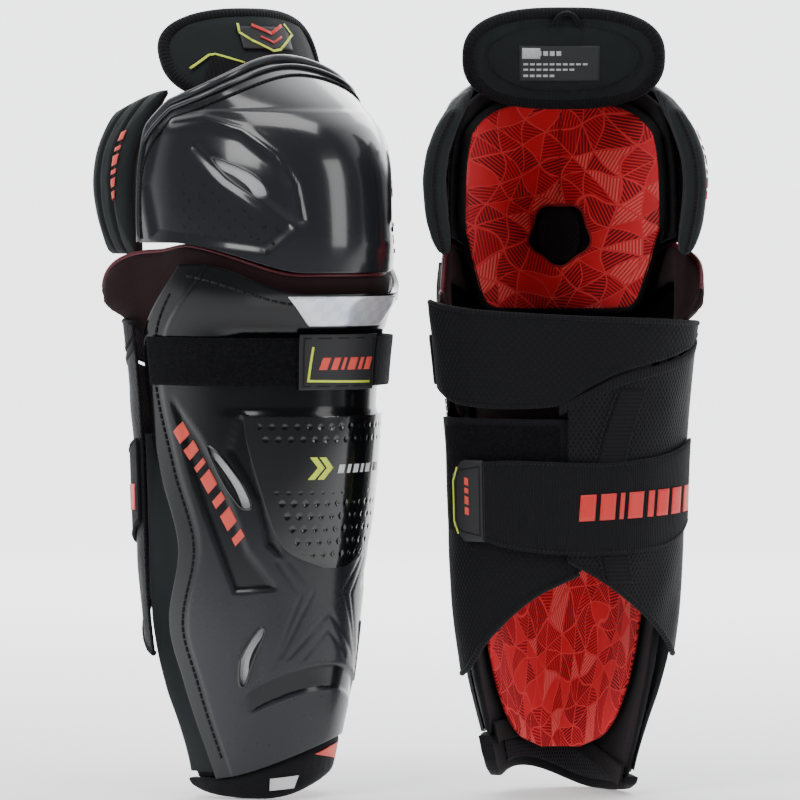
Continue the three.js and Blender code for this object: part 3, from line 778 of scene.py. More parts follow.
def shin_hardware(guard):
    at = layer(on_shin, shell_reach, shell_bottom, shell_top, (-3, 0), shin_relief)
    shell = guard.stand_in("shin_shell", *slab(150, 190, at), SHELL, "shin", "shell_plastic")
    pierce(shell, guard, on_shin, [UPPER_VENT, LOWER_VENT])
    place_again(shell, guard, SHIN_WIDTH, SHIN_FRONT, shin_relief)
    bevel(shell, 0.9)
    window_lips(guard, "shin_window_lips", on_shin, [UPPER_VENT, LOWER_VENT], GLOSS, "shin", shin_relief)
    vent_shade(guard, "upper_vent_shade", on_shin, UPPER_VENT, (-4.6, -0.6), "shin")
    vent_shade(guard, "lower_vent_shade", on_shin, LOWER_VENT, (4.6, 0), "shin")

    panel_at = layer(on_shin, lambda z: through(PANEL_REACH, z), 152, 251, (1.2, 2.6), panel_relief)
    panel = guard.stand_in("shin_panel", *slab(170, 150, panel_at), GLOSS, "shin", "shell_plastic")
    bevel(panel, 0.5)

    badge_at = layer(on_shin, lambda z: mix(20, 32, (z - 309) / 20), 309, 328.5, (1.0, 3.0))
    badge = guard.stand_in("badge_plate", *slab(40, 10, badge_at), FOIL, "shin", "badge_chrome")
    bevel(badge, 0.7)

    def skin(phi, z):
        return on_shin(phi, z, shin_relief(phi, z) + 0.2)

    for label, side in (("lateral", -1), ("medial", 1)):

        def seam(t, side=side):
            z = mix(26, 330, t)
            inset = 8 if z < 290 else mix(8, 4, (z - 290) / 40)
            return skin(side * (shell_reach(z) - inset), z)

        stitches(guard, "shell_stitch_" + label, seam, 70, "shin")
    for label, low, high in (("left", 0.0, 0.30), ("right", 0.70, 1.0)):

        def top_seam(t, low=low, high=high):
            phi = mix(-70, 70, mix(low, high, t))
            return skin(phi, shell_top(phi) - 7)

        stitches(guard, "shell_stitch_" + label, top_seam, 13, "shin")


def knee_reach(z):
    return through(KNEE_REACH, z)


def cap_bottom(spread):
    return collar_top(spread * 1.09) + 1.6


def knee_edge(t):
    """The cap's edge from its lateral lower corner, over the top, to the medial one: phi and z."""
    rise = 0.27
    down = max(0.0, abs(2 * t - 1) - (1 - 2 * rise)) / (2 * rise)
    share = clamp((2 * t - 1) / (1 - 2 * rise), -1, 1)
    z = mix(knee_top(share * 84), cap_bottom(84), down)
    return share * knee_reach(z), z


def beside_edge(t, out, off):
    """A point beside the cap's edge: out mm beyond it, or within it where out is negative."""
    (phi0, z0), (phi1, z1) = knee_edge(clamp(t - 0.035)), knee_edge(clamp(t + 0.035))
    along = Vector((arc(phi1) - arc(phi0), z1 - z0)).normalized()
    phi, z = knee_edge(t)
    phi, z = phi - angle(along.y * out), z + along.x * out
    return on_knee(phi, z, off)


def pits(guard, name, places, radius, length):
    """Small black beads in slanting rows on the cap, for slots pressed into it: their black is painted shade
    of the slots.
    """
    parts = []
    for side in (1, -1):
        for x, z in places:
            ends = [on_knee(side * angle(x + dx), z + dz, knee_relief(angle(x), z) - 0.15)
                    for dx, dz in ((-0.3 * length, -0.5 * length), (0.3 * length, 0.5 * length))]
            parts.append(tube(lambda t, ends=ends: ends[0].lerp(ends[1], t), radius, 2, 6))
    return guard.make(name, *joined(parts), THREAD, "knee", "shell_plastic")


def knee_hardware(guard):
    at = layer(on_knee, knee_reach, cap_bottom, knee_top, (-3, 0), knee_relief)
    cap = guard.stand_in("knee_cap", *slab(180, 130, at), CAP, "knee", "shell_plastic")
    pierce(cap, guard, on_knee, [KNEE_VENT])
    place_again(cap, guard, KNEE_WIDTH, KNEE_FRONT, knee_relief)
    bevel(cap, 0.9)
    window_lips(guard, "knee_window_lips", on_knee, [KNEE_VENT], CAP, "knee", knee_relief)
    vent_shade(guard, "knee_vent_shade", on_knee, KNEE_VENT, (-5.4, -3.6), "knee")
    # The slots and pits are black beads, whose black is painted shade of the hollows they stand for.
    rows = [(52 + 9 * i + 3.5 * (j % 2), 368 + 5.5 * j) for j in range(8) for i in range(7)]
    slots = [(x, z) for x, z in rows if inside(x, z, PITTED) > 0]
    pits(guard, "cap_slots", slots, 0.45, 2.6)
    pits(guard, "cap_pits", [(54, 371), (62, 374), (57, 363), (66, 366), (60, 357)], 1.1, 2.4)

    outer = tube(lambda t: beside_edge(mix(0.005, 0.995, t), 2.6, -1.2), 3.0, 130, 12)
    inner = tube(lambda t: beside_edge(mix(0.005, 0.995, t), -2.2, 0.9), 1.5, 130, 8)
    guard.stand_in("knee_rim", *joined([outer, inner]), PIPING, "knee", "elastic_webbing")
    stitches(guard, "cap_stitch", lambda t: beside_edge(mix(0.03, 0.97, t), -8, 0.1), 110, "knee", 1.0, 0.85)


# ---------- soft pieces: helpers ----------
def ripple(x, y, scale, seed=0.0):
    """Smooth wrinkles from -1 to 1, about scale apart."""
    return noise.noise(Vector((x / scale, y / scale, seed)))


SWELL_FRAMES = 20


def sewn(columns, rows, seams=()):
    """The points of a slab() on its rim, and on the columns at these shares of its width."""
    across, up = columns + 1, rows + 1
    lines = {0, columns} | {i for i in range(across) for share in seams if abs(i / columns - share) < 0.02}
    return [n for n in range(2 * across * up) if n % across in lines or n // across % up in (0, rows)]


def swell(obj, cap, held, pressure):
    """Fills a soft piece by cloth simulation. The points in held are sewn down, and no point moves by
    more than cap mm."""
    modifier = obj.modifiers.new("Swell", "CLOTH")
    cloth_settings = modifier.settings
    cloth_settings.quality = 4
    cloth_settings.mass = 0.25
    cloth_settings.tension_stiffness = 12
    cloth_settings.compression_stiffness = 12
    cloth_settings.shear_stiffness = 6
    cloth_settings.bending_stiffness = 0.4
    cloth_settings.use_pressure = True
    cloth_settings.uniform_pressure_force = pressure
    cloth_settings.effector_weights.gravity = 0
    modifier.collision_settings.use_collision = False
    group = obj.vertex_groups.new(name="seams")
    group.add(held, 1.0, "REPLACE")
    cloth_settings.vertex_group_mass = "seams"
    modifier.point_cache.frame_start = 1
    modifier.point_cache.frame_end = SWELL_FRAMES
    for number in range(1, SWELL_FRAMES + 1):
        bpy.context.scene.frame_set(number)
    swollen = obj.evaluated_get(bpy.context.evaluated_depsgraph_get()).to_mesh()
    moved = []
    for before, after in zip(obj.data.vertices, swollen.vertices):
        move = after.co - before.co
        if move.length > cap * MM:
            move = move.normalized() * cap * MM
        moved.append(before.co + move)
    obj.modifiers.remove(modifier)
    for vertex, place in zip(obj.data.vertices, moved):
        vertex.co = place
    bpy.context.scene.frame_set(1)


def patch(at, corners, thick=0.4, n=6):
    """A thin printed or sewn patch between four corners (x, z). at(x, z, off) lies on the cloth."""
    (ax, az), (bx, bz), (cx, cz), (dx, dz) = corners

    def place(u, v, side):
        x = mix(mix(ax, bx, u), mix(dx, cx, u), v)
        z = mix(mix(az, bz, u), mix(dz, cz, u), v)
        return at(x, z, thick if side == 0 else 0), (x, z, 0)

    return slab(n, n, place)


def dashes(at, start, end, height, pattern, slant=0.35, thick=0.4):
    """Plain slanted bars along a line: pattern is the (from, to) share of the line that each bar takes."""
    origin = Vector(start)
    along = Vector(end) - origin
    length = along.length
    along.normalize()
    up = Vector((-along.y, along.x))
    parts = []
    for a, b in pattern:
        corners = []
        for share, rise in ((a, 0), (b, 0), (b, 1), (a, 1)):
            p = origin + along * (share * length + rise * height * slant) + up * rise * height
            corners.append((p.x, p.y))
        parts.append(patch(at, corners, thick))
    return joined(parts)


def stroke(at, path, width, closed=False, thick=0.4):
    """A flat line of even width along the points (x, z) of a path, with mitred corners."""
    count = len(path)
    sides = []
    for i, p in enumerate(path):
        before = path[(i - 1) % count] if closed or i > 0 else None
        after = path[(i + 1) % count] if closed or i < count - 1 else None
        here = Vector(p)
        tangents = []
        if before:
            tangents.append((here - Vector(before)).normalized())
        if after:
            tangents.append((Vector(after) - here).normalized())
        along = sum(tangents, Vector((0, 0))).normalized()
        normal = Vector((-along.y, along.x))
        stretch = 1 / max(0.5, along.dot(tangents[0]))
        sides.append((here - normal * width / 2 * stretch, here + normal * width / 2 * stretch))
    parts = []
    for i in range(count if closed else count - 1):
        (a, d), (b, c) = sides[i], sides[(i + 1) % count]
        parts.append(patch(at, [tuple(a), tuple(b), tuple(c), tuple(d)], thick, 4))
    return joined(parts)


def on_shin_cloth(base):
    """at() for marks on a wall that stands base off the shell: x is the distance round the leg."""
    return lambda x, z, off: on_shin(angle(x), z, base + off)


def lifted(at, by):
    """at() for marks that lie by mm above those of another at()."""
    return lambda x, z, off: at(x, z, off + by)


def edge_bead(guard, name, phis, height, off, radius, body, slot, count=60):
    """A sewn binding along the edge of a wall round the shin: height is its z at each phi."""

    def curve(t):
        phi = mix(phis[0], phis[1], t)
        return on_shin(phi, height(phi), off + 0.25 * ripple(phi, 0, 4))

    return guard.make(name, *tube(curve, radius, count, 10), RIBBED, body, slot)


def rippled(height, scale, seed):
    """relief(phi, z) of even wrinkles."""
    return lambda phi, z: height * ripple(arc(phi), z, scale, seed)


# ---------- soft pieces: the shin ----------
# The collar reaches COLLAR_REACH degrees to each side. Its lateral top corner stands away from the leg.
COLLAR_REACH = 110


def collar_low(phi):
    return mix(shell_top(phi) - 13, 250, step(abs(phi), 76, 96))


def collar_high(phi):
    if phi > 0:
        return mix(collar_top(phi), 330, step(phi, 76, 96))
    fall = clamp((-phi - 84) / 26, 0, 1)
    return mix(318, collar_top(phi) - 4 * step(-phi, 70, 86), math.sqrt(1 - fall**2))


def collar_at(u, v, side):
    phi = mix(-COLLAR_REACH, COLLAR_REACH, u)
    z = mix(collar_low(phi), collar_high(phi), v)
    loose = step(abs(phi), 80, COLLAR_REACH) * step(z, 303, 325)
    round_off = 2.6 * abs(2 * v - 1) ** 6 + 2.4 * step(abs(phi), 104, COLLAR_REACH)
    soft = 0.5 * ripple(arc(phi), z, 16, 3)
    off = -5 - round_off + soft if side == 0 else -11 + round_off * 0.9
    spread = Vector((math.copysign(15, phi), 21, 0)) * loose * (1.0 if phi < 0 else 0.4)
    return on_shin(phi, z, off) + spread, (arc(phi), z, off)


def collar_rim_point(t):
    share = (mix(-108, 108, t) + COLLAR_REACH) / (2 * COLLAR_REACH)
    return (collar_at(share, 1.0, 0)[0] + collar_at(share, 1.0, 1)[0]) / 2


def carrier_relief(phi, z):
    return 0.7 * ripple(arc(phi), z, 22, 1) + 0.35 * ripple(arc(phi), z, 6, 2)


def shin_soft(guard):
    mesh_at = layer(on_shin, (-68, 68), 68, 240, (-4.6, -4))
    vents = guard.stand_in("shin_vent_mesh", *slab(60, 40, mesh_at), MESH, "shin", "vent_mesh")

    collar = guard.stand_in("shin_collar", *slab(150, 14, collar_at), MAROON, "shin", "collar_fabric")
    guard.make("collar_rim", *tube(collar_rim_point, 1.5, 140, 8), RIM_RED, "shin", "collar_fabric")

    carrier_at = layer(on_shin, carrier_reach, shell_edge, 312, (-12, -5.6), carrier_relief, edge=0.85)
    carrier = guard.stand_in("foam_carrier", *slab(110, 90, carrier_at), BLACK, "shin", "black_fabric")

    def flank_at(u, v, side):
        """A strip beside the shell that ramps from the carrier out to the root of the lateral wing."""
        z = mix(16, 238, v)
        width = step(z, 14, 112)
        start = min(shell_reach(z) + 1.4, 91.4)
        phi = -mix(start, max(start + 1.5, mix(86, 93.4, width)), u)
        ramp = mix(mix(-5.2, -4.3, width), 2.6, step(u, 0, 1) * width)
        rise = ramp + 0.3 * width * ripple(z, arc(phi), 18, 4)
        return on_shin(phi, z, rise if side == 0 else max(rise - 2.4, -5.5)), (arc(phi), z, rise)

    flank = guard.make("lateral_flank", *slab(14, 70, flank_at), GREY, "shin", "black_fabric")

    lining_at = layer(on_shin, (-72, 72), 244, 310, (-18.5, -14.7), carrier_relief, edge=0.8)
    lining = guard.make("upper_lining", *slab(60, 20, lining_at), BLACK, "shin", "black_fabric")
    liner_at = layer(on_shin, lambda z: through(LINER_REACH, z), 27, 242, (-19.4, -14.7), edge=0.9)

    def quilt(u, v, side):
        point, place = liner_at(u, v, side)
        if side == 1:
            across = abs(2 * u - 1)
            seam = bump(across, 0, 0.035) + bump(across, 0.62, 0.03) * step(v, 0.1, 0.3)
            puff = 1.2 * (1 - seam) + 0.5 * ripple(place[0], place[1], 14, 5)
            point = point + (Vector((0, 0, point.z)) - point).normalized() * puff
        return point, place

    liner = guard.stand_in("shin_liner", *slab(80, 90, quilt), LINER, "shin", "liner_fabric")

    def hem_at(u, v, side):
        phi = mix(-85, 92, u)
        high = shell_edge(phi) - mix(1.2, 0.2, step(abs(phi), 62, 72))
        turn = clamp((phi - 60) / 32 if phi > 0 else (-phi - 46) / 39)
        low = mix(hem_low(phi), high - 2.4, 1 - math.sqrt(1 - turn**2))
        z = mix(low, high, v)
        round_off = 1.6 * abs(2 * v - 1) ** 6
        off = -1.5 - round_off + 0.4 * ripple(arc(phi), z, 9, 6) if side == 0 else -10 + round_off
        return on_shin(phi, z, off), (arc(phi), z, off)

    hem = guard.stand_in("hem_sock", *slab(120, 10, hem_at), BLACK, "shin", "black_fabric")
    net_at = layer(on_shin, (-58, 58), lambda p: hem_low(p) + 6, 33, (-11.2, -10.3))
    net = guard.make("hem_netting", *slab(60, 8, net_at), HEM_NET, "shin", "open_mesh")
    tape_low, tape_high = (lambda p: shell_edge(p) - 6), (lambda p: shell_edge(p) + 7)
    tape_at = layer(on_shin, (-86, 86), tape_low, tape_high, (-13.8, -12.2))
    tape = guard.make("hem_tape", *slab(110, 6, tape_at), RIBBED, "shin", "black_fabric")
    front = on_shin_cloth(-1.2)
    wedge = [(1, 29), (48, 24), (46, 35), (26, 33.5)]
    guard.make("hem_wedge", *patch(front, wedge, 0.6, 10), CORAL, "shin", "grey_fabric")
    label = [(-47, 5.5), (-20, 7), (-16, 15.5), (-47, 13.5)]
    guard.make("hem_label", *patch(front, label, 0.6, 10), WHITE, "shin", "grey_fabric")


# ---------- straps ----------
def straps(guard):
    loop_at = layer(on_shin, (-87, 14), 270.3, 301.7, (1.1, 3.1), rippled(0.3, 3, 7), 0.3)
    guard.stand_in("front_loop_strap", *slab(90, 14, loop_at), PILE, "shin", "loop_pile")

    tag_at = layer(on_shin, (-24, 16), 268, 304, (4.2, 6.0), edge=0.5)
    tag = guard.stand_in("strap_tag", *slab(60, 30, tag_at), RUBBER, "tag", "elastic_webbing")
    bevel(tag, 0.5)
    face = on_shin_cloth(5.9)
    lime = [(-28, 296), (-31, 274), (19, 273)]
    guard.make("tag_line", *stroke(face, lime, 1.5), LIME, "tag", "elastic_webbing")
    bars = [(0.0, 0.14), (0.2, 0.32), (0.38, 0.44), (0.5, 0.66), (0.72, 0.8), (0.86, 1.0)]
    guard.make("tag_bars", *dashes(face, (-24, 281), (18, 281), 8, bars), CORAL, "tag", "elastic_webbing")
    border = [(-34, 270.5), (21, 270.5), (21, 301.5), (-34, 301.5)]
    guard.make("tag_edge", *stroke(face, border, 0.9, closed=True), THREAD, "tag", "elastic_webbing")

    web_at = layer(on_shin, (16.3, 95), 270, 302, (4.2, 6.2), edge=0.3)
    guard.stand_in("side_webbing", *slab(80, 14, web_at), WEBBING, "tag", "elastic_webbing")

    def band_low(phi):
        return through(BAND_LOW, phi) + 3

    def band_high(phi):
        return through(BAND_TOP, phi)

    band_at = layer(on_shin, (100.5, 266), band_low, band_high, (3.3, 5.9), rippled(0.5, 20, 8))
    band = guard.stand_in("upper_band", *slab(110, 24, band_at), NEOPRENE, "shin", "neoprene")
    edges = [
        edge_bead(guard, "band_top_edge", (101, 266), band_high, 4.6, 1.9, "shin", "neoprene"),
        edge_bead(guard, "band_low_edge", (101, 266), band_low, 4.6, 1.6, "shin", "neoprene"),
    ]


# ---------- soft pieces: the back ----------
WING_ROOT = 266  # the phi of the hinge line of the lateral wing and the upper band


def on_wing(phi, z, off):
    """A point off the lateral wing's outer face, which billows away from its root."""
    billow = 1.1 * ripple(arc(phi), z, 30, 11) * step(WING_ROOT - phi, 0, 12)
    return on_shin(phi, z, 5.6 + billow + off)


def wings(guard):
    def lateral_at(u, v, side):
        phi = mix(181, WING_ROOT, u)
        z = mix(through(WING_LOW, phi), through(WING_TOP, phi), v)
        return on_wing(phi, z, 0 if side == 0 else -2.2), (arc(phi), z, 0)

    wing = guard.stand_in("lateral_wing", *slab(90, 90, lateral_at), NET, "wrap", "open_mesh")

    def binding_at(u, v, side):
        phi = mix(177, WING_ROOT, u)
        z = through(WING_TOP, phi) + mix(-1.5, 5.0, v)
        round_off = 0.8 * abs(2 * v - 1) ** 4
        off = 6.3 - round_off if side == 0 else 2.9 + round_off
        return on_shin(phi, z, off + 0.4 * ripple(arc(phi), 0, 12, 12)), (arc(phi), z, 0)

    binding = guard.stand_in("wing_binding", *slab(110, 8, binding_at), RIBBED, "wrap", "elastic_webbing")
    low = edge_bead(
        guard, "wing_low_edge", (182, WING_ROOT), lambda p: through(WING_LOW, p) + 1.2, 4.5, 2.0,
        "wrap", "elastic_webbing", 80,
    )

    def bowed(phi, t):
        """The phi of a line that bows as it rises."""
        return phi - 9 * math.sin(math.pi * t) + 4 * t

    def strip_at(u, v, side):
        phi, z = bowed(208, v) + mix(-6.5, 6.5, u), mix(142, 268, v)
        return on_wing(phi, z, 0.9 if side == 0 else 0.1), (z, arc(phi), 0)

    strip = guard.make("wing_strip", *slab(12, 90, strip_at), RIBBED, "wrap", "elastic_webbing")
    for name, phi in (("near", 199), ("far", 214)):

        def down(t, phi=phi):
            return on_wing(bowed(phi, t), mix(144, 266, t), 0.9)

        stitches(guard, "wing_stitch_" + name, down, 34, "wrap", 0.6, 0.5)

    def medial_low(phi):
        return through(MEDIAL_LOW, phi)

    medial_at = layer(on_shin, (96, 187), medial_low, 249, (0.1, 2.3), rippled(0.35, 24, 13))
    medial = guard.stand_in("medial_wing", *slab(90, 70, medial_at), NEOPRENE, "medial", "black_fabric")
    hem = edge_bead(
        guard, "medial_low_edge", (97, 187), lambda p: medial_low(p) + 1, 1.4, 2.0,
        "medial", "elastic_webbing", 80,
    )
    upright = tube(lambda t: on_shin(187, mix(150, 248, t), 1.3), 1.6, 30, 10)
    side = guard.make("medial_edge", *upright, RIBBED, "medial", "elastic_webbing")

    patch_at = layer(on_shin, (104, 177), 176, 244, (2.5, 3.6), rippled(0.25, 3, 14), 0.4)
    loops = guard.stand_in("loop_patch", *slab(90, 70, patch_at), PILE, "medial", "loop_pile")


def calf_strap(guard):
    def strap_low(phi):
        return through(STRAP_LOW, phi)

    def strap_high(phi):
        return through(STRAP_TOP, phi)

    def strap_relief(phi, z):
        return 0.4 * ripple(arc(phi), 0, 25, 15)

    strap_at = layer(on_shin, (140, 263), strap_low, strap_high, (6.4, 8.2), strap_relief)
    guard.stand_in("calf_strap", *slab(110, 24, strap_at), WEBBING, "strap", "elastic_webbing")
    for name, height in (("top", lambda p: strap_high(p) - 2), ("low", lambda p: strap_low(p) + 2)):

        def edge(t, height=height):
            phi = mix(141, 262, t)
            return on_shin(phi, height(phi), 8.35)

        stitches(guard, "strap_stitch_" + name, edge, 60, "strap", 0.6, 0.4)

    face = on_shin_cloth(8.3)
    bars = [
        (0.0, 0.1), (0.13, 0.23), (0.26, 0.29), (0.32, 0.43),
        (0.47, 0.52), (0.55, 0.66), (0.7, 0.82), (0.87, 1.0),
    ]
    marks = dashes(face, (arc(186), 183), (arc(259), 188), 17, bars, 0.12)
    guard.make("strap_bars", *marks, RED, "strap", "elastic_webbing")

    def pinch(phi):
        """How much of the tab's corners is cut off, towards its free end."""
        return 9 * step(-phi, -128, -118)

    tab_low, tab_high = (lambda phi: 169 + pinch(phi)), (lambda phi: 222 - pinch(phi))
    tab_at = layer(on_shin, (118, 139.7), tab_low, tab_high, (5.7, 8.3), edge=0.5)
    tab = guard.stand_in("calf_strap_tab", *slab(36, 40, tab_at), RUBBER, "strap", "black_fabric")
    bevel(tab, 0.5)
    line = rounds([(123, 174), (119.5, 182), (119.5, 208), (123, 217)])
    guard.make("tab_line", *stroke(face, line, 1.5), LIME, "strap", "elastic_webbing")
    border = rounds([(124, 176), (138, 173), (138, 218), (124, 215), (121.5, 206), (121.5, 184)])
    guard.make("tab_edge", *stroke(face, border, 0.9, closed=True), THREAD, "strap", "elastic_webbing")
    bars = [(0, 0.2), (0.28, 0.5), (0.58, 0.72), (0.8, 1)]
    marks = dashes(face, (arc(131), 186), (arc(131), 210), 4, bars, 0.2)
    guard.make("tab_bars", *marks, CORAL, "strap", "elastic_webbing")


# ---------- soft pieces: the knee ----------
def knee_liner_outline(t):
    """The liner's outline (x, z) at t from 0 to 2 pi, from the bottom up one side and down the other."""
    up = 0.5 - 0.5 * math.cos(t)
    along = up * (len(KNEE_LINER) - 1)
    keys = [(i, x) for i, (x, _) in enumerate(KNEE_LINER)]
    heights = [(i, z) for i, (_, z) in enumerate(KNEE_LINER)]
    return through(keys, along) * (-1 if math.sin(t) < 0 else 1), through(heights, along)


def inside_knee(x, z, off):
    """The point on the cap's inner side that lies x to the side of the middle."""
    half = through(KNEE_WIDTH, z) + off
    return on_knee(math.degrees(math.asin(clamp(x / half, -0.97, 0.97))), z, off)


def knee_soft(guard):
    mesh_at = layer(on_knee, (-70, 70), 372, 430, (-4.6, -4))
    vents = guard.stand_in("knee_vent_mesh", *slab(60, 24, mesh_at), MESH, "knee", "vent_mesh")

    def foam_low(phi):
        return collar_top(phi) + 4

    def foam_high(phi):
        return knee_top(phi) - 4

    foam_at = layer(on_knee, (-77, 77), foam_low, foam_high, (-12, -5.6), carrier_relief, 0.8)
    foam = guard.stand_in("knee_foam", *slab(90, 50, foam_at), BLACK, "knee", "black_fabric")

    def hole(t):
        radius = HOLE_RADIUS * (1 + 0.07 * math.cos(5 * t))
        return radius * math.sin(t), HOLE_Z - radius * math.cos(t)

    rings, turns = 26, 120

    def liner_at(u, v, side):
        t = 2 * math.pi * u
        (hx, hz), (x, z) = hole(t), knee_liner_outline(t)
        px, pz = mix(hx, x, v), mix(hz, z, v)
        body = math.sin(math.pi * clamp(v, 0.02, 0.98)) ** 0.45
        seam = 1.8 * bump(px, 0, 2.4) * (1 if pz > HOLE_Z else 0)
        creases = 0.9 * math.sin(13 * t) * math.exp(-5 * v) + 0.6 * ripple(px, pz, 12, 16)
        thick = 4.2 * body - seam + creases * body
        off = -16.6 if side == 0 else -17.4 - thick
        return inside_knee(px, pz, off), (px, pz, 0)

    liner = guard.stand_in("knee_liner", *slab(turns, rings, liner_at, wrap=True), LINER, "", "liner_fabric")
    backing = turns * (rings + 1)
    rims = [backing + ring * turns + i for ring in (0, rings) for i in range(turns)]
    swell(liner, 2.2, [*range(backing), *rims], 3.0)
    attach(liner, guard.prefix + "knee")

    def border(t):
        x, z = knee_liner_outline(2 * math.pi * t)
        return inside_knee(x * 1.02, HOLE_Z + (z - HOLE_Z) * 1.02, -16.4)

    guard.make("liner_edge", *tube(border, 2.6, 120, 10, True), BLACK, "knee", "black_fabric")

    def hole_border(t):
        x, z = hole(2 * math.pi * t)
        return inside_knee(x, z, -17.2)

    guard.make("hole_edge", *tube(hole_border, 1.4, 60, 8, True), RED_THREAD, "knee", "liner_fabric")

    def centre_seam(t):
        return inside_knee(0, mix(HOLE_Z + 26, 448, t), -19.6)

    stitches(guard, "liner_seam", centre_seam, 16, "knee", 0.6, 0.5, RED_THREAD, "liner_fabric")

    def net_reach(z):
        return 1.5 + 10.5 * math.sqrt(max(0, 1 - ((z - HOLE_Z) / 20) ** 2))

    net_at = layer(on_knee, net_reach, 348, 386, (-14, -12.9))
    net = guard.stand_in("knee_mesh", *slab(20, 20, net_at), FINE_NET, "knee", "open_mesh")

    for side, name in ((-1, "lateral"), (1, "medial")):
        bolster(guard, side, name)


def roll_top(along):
    return ROLL_HIGH - 13 * along**2


CHANNELS = (0.36, 0.7)  # where the side rolls' sewn channels lie, as shares of their depth


def bolster_point(side, along, v, outer, swollen=0.0):
    """A point of a side roll: along from front to back, v up, and side -1 lateral or 1 medial."""
    start = mix(ROLL_START[0][1], ROLL_END[0][1], along)
    z = mix(355 + 8 * step(-start, -14, 10), roll_top(along), v)
    y = mix(through(ROLL_START, z), through(ROLL_END, z), along)
    rim = max(abs(2 * along - 1), abs(2 * v - 1))
    plump = math.sqrt(clamp(1 - rim**4, 0.0, 1.0))
    rolls = 1 - 0.55 * bump(along, CHANNELS[0], 0.045) - 0.35 * bump(along, CHANNELS[1], 0.04)
    middle = through(ROLL_OUT, z) - 8.2
    out = middle + (1 if outer else -1) * (1.0 + 6.6 * plump * rolls + swollen)
    out += 0.4 * ripple(y, z, 12, 17 + side) * plump
    return Vector((side * out, y, z))


def bolster(guard, side, name):
    columns, rows = 34, 46

    def at(u, v, which):
        point = bolster_point(side, u, v, which == 0)
        return point, (point.y, point.z, point.x)

    pad = guard.stand_in("bolster_" + name, *slab(columns, rows, at), GREY, "", "grey_fabric")
    swell(pad, 2.0, sewn(columns, rows, CHANNELS), 4.0)
    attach(pad, guard.prefix + "knee")

    def edge(t):
        return bolster_point(side, 1.0, mix(0.02, 0.98, t), True, -0.6)

    guard.make("bolster_edge_" + name, *tube(edge, 1.5, 50, 8), RIBBED, "knee", "elastic_webbing")

    def groove(t):
        return bolster_point(side, CHANNELS[0], mix(0.05, 0.95, t), True, 0.5)

    stitches(guard, "bolster_stitch_" + name, groove, 30, "knee", 0.6, 0.45)
    if side < 0:

        def face(x, z, off):
            start, end = through(ROLL_START, z), through(ROLL_END, z)
            along = clamp((x - start) / (end - start))
            point = bolster_point(side, along, (z - 359) / (roll_top(along) - 359), True, 1.4 + off)
            return Vector((point.x, point.y, z))

        bars = [(0, 0.10), (0.16, 0.28), (0.34, 0.40), (0.46, 0.60), (0.66, 0.72), (0.80, 0.92)]
        marks = dashes(face, (22, 390), (17, 438), 4.5, bars, 0.5)
        guard.make("bolster_bars", *marks, CORAL, "knee", "grey_fabric")


# ---------- soft pieces: the thigh flap ----------
def flap_share(a, b):
    """A place in the square -1 to 1, drawn out to the flap's rounded oval."""
    return a * math.sqrt(1 - 0.40 * b * b), b * math.sqrt(1 - 0.40 * a * a)


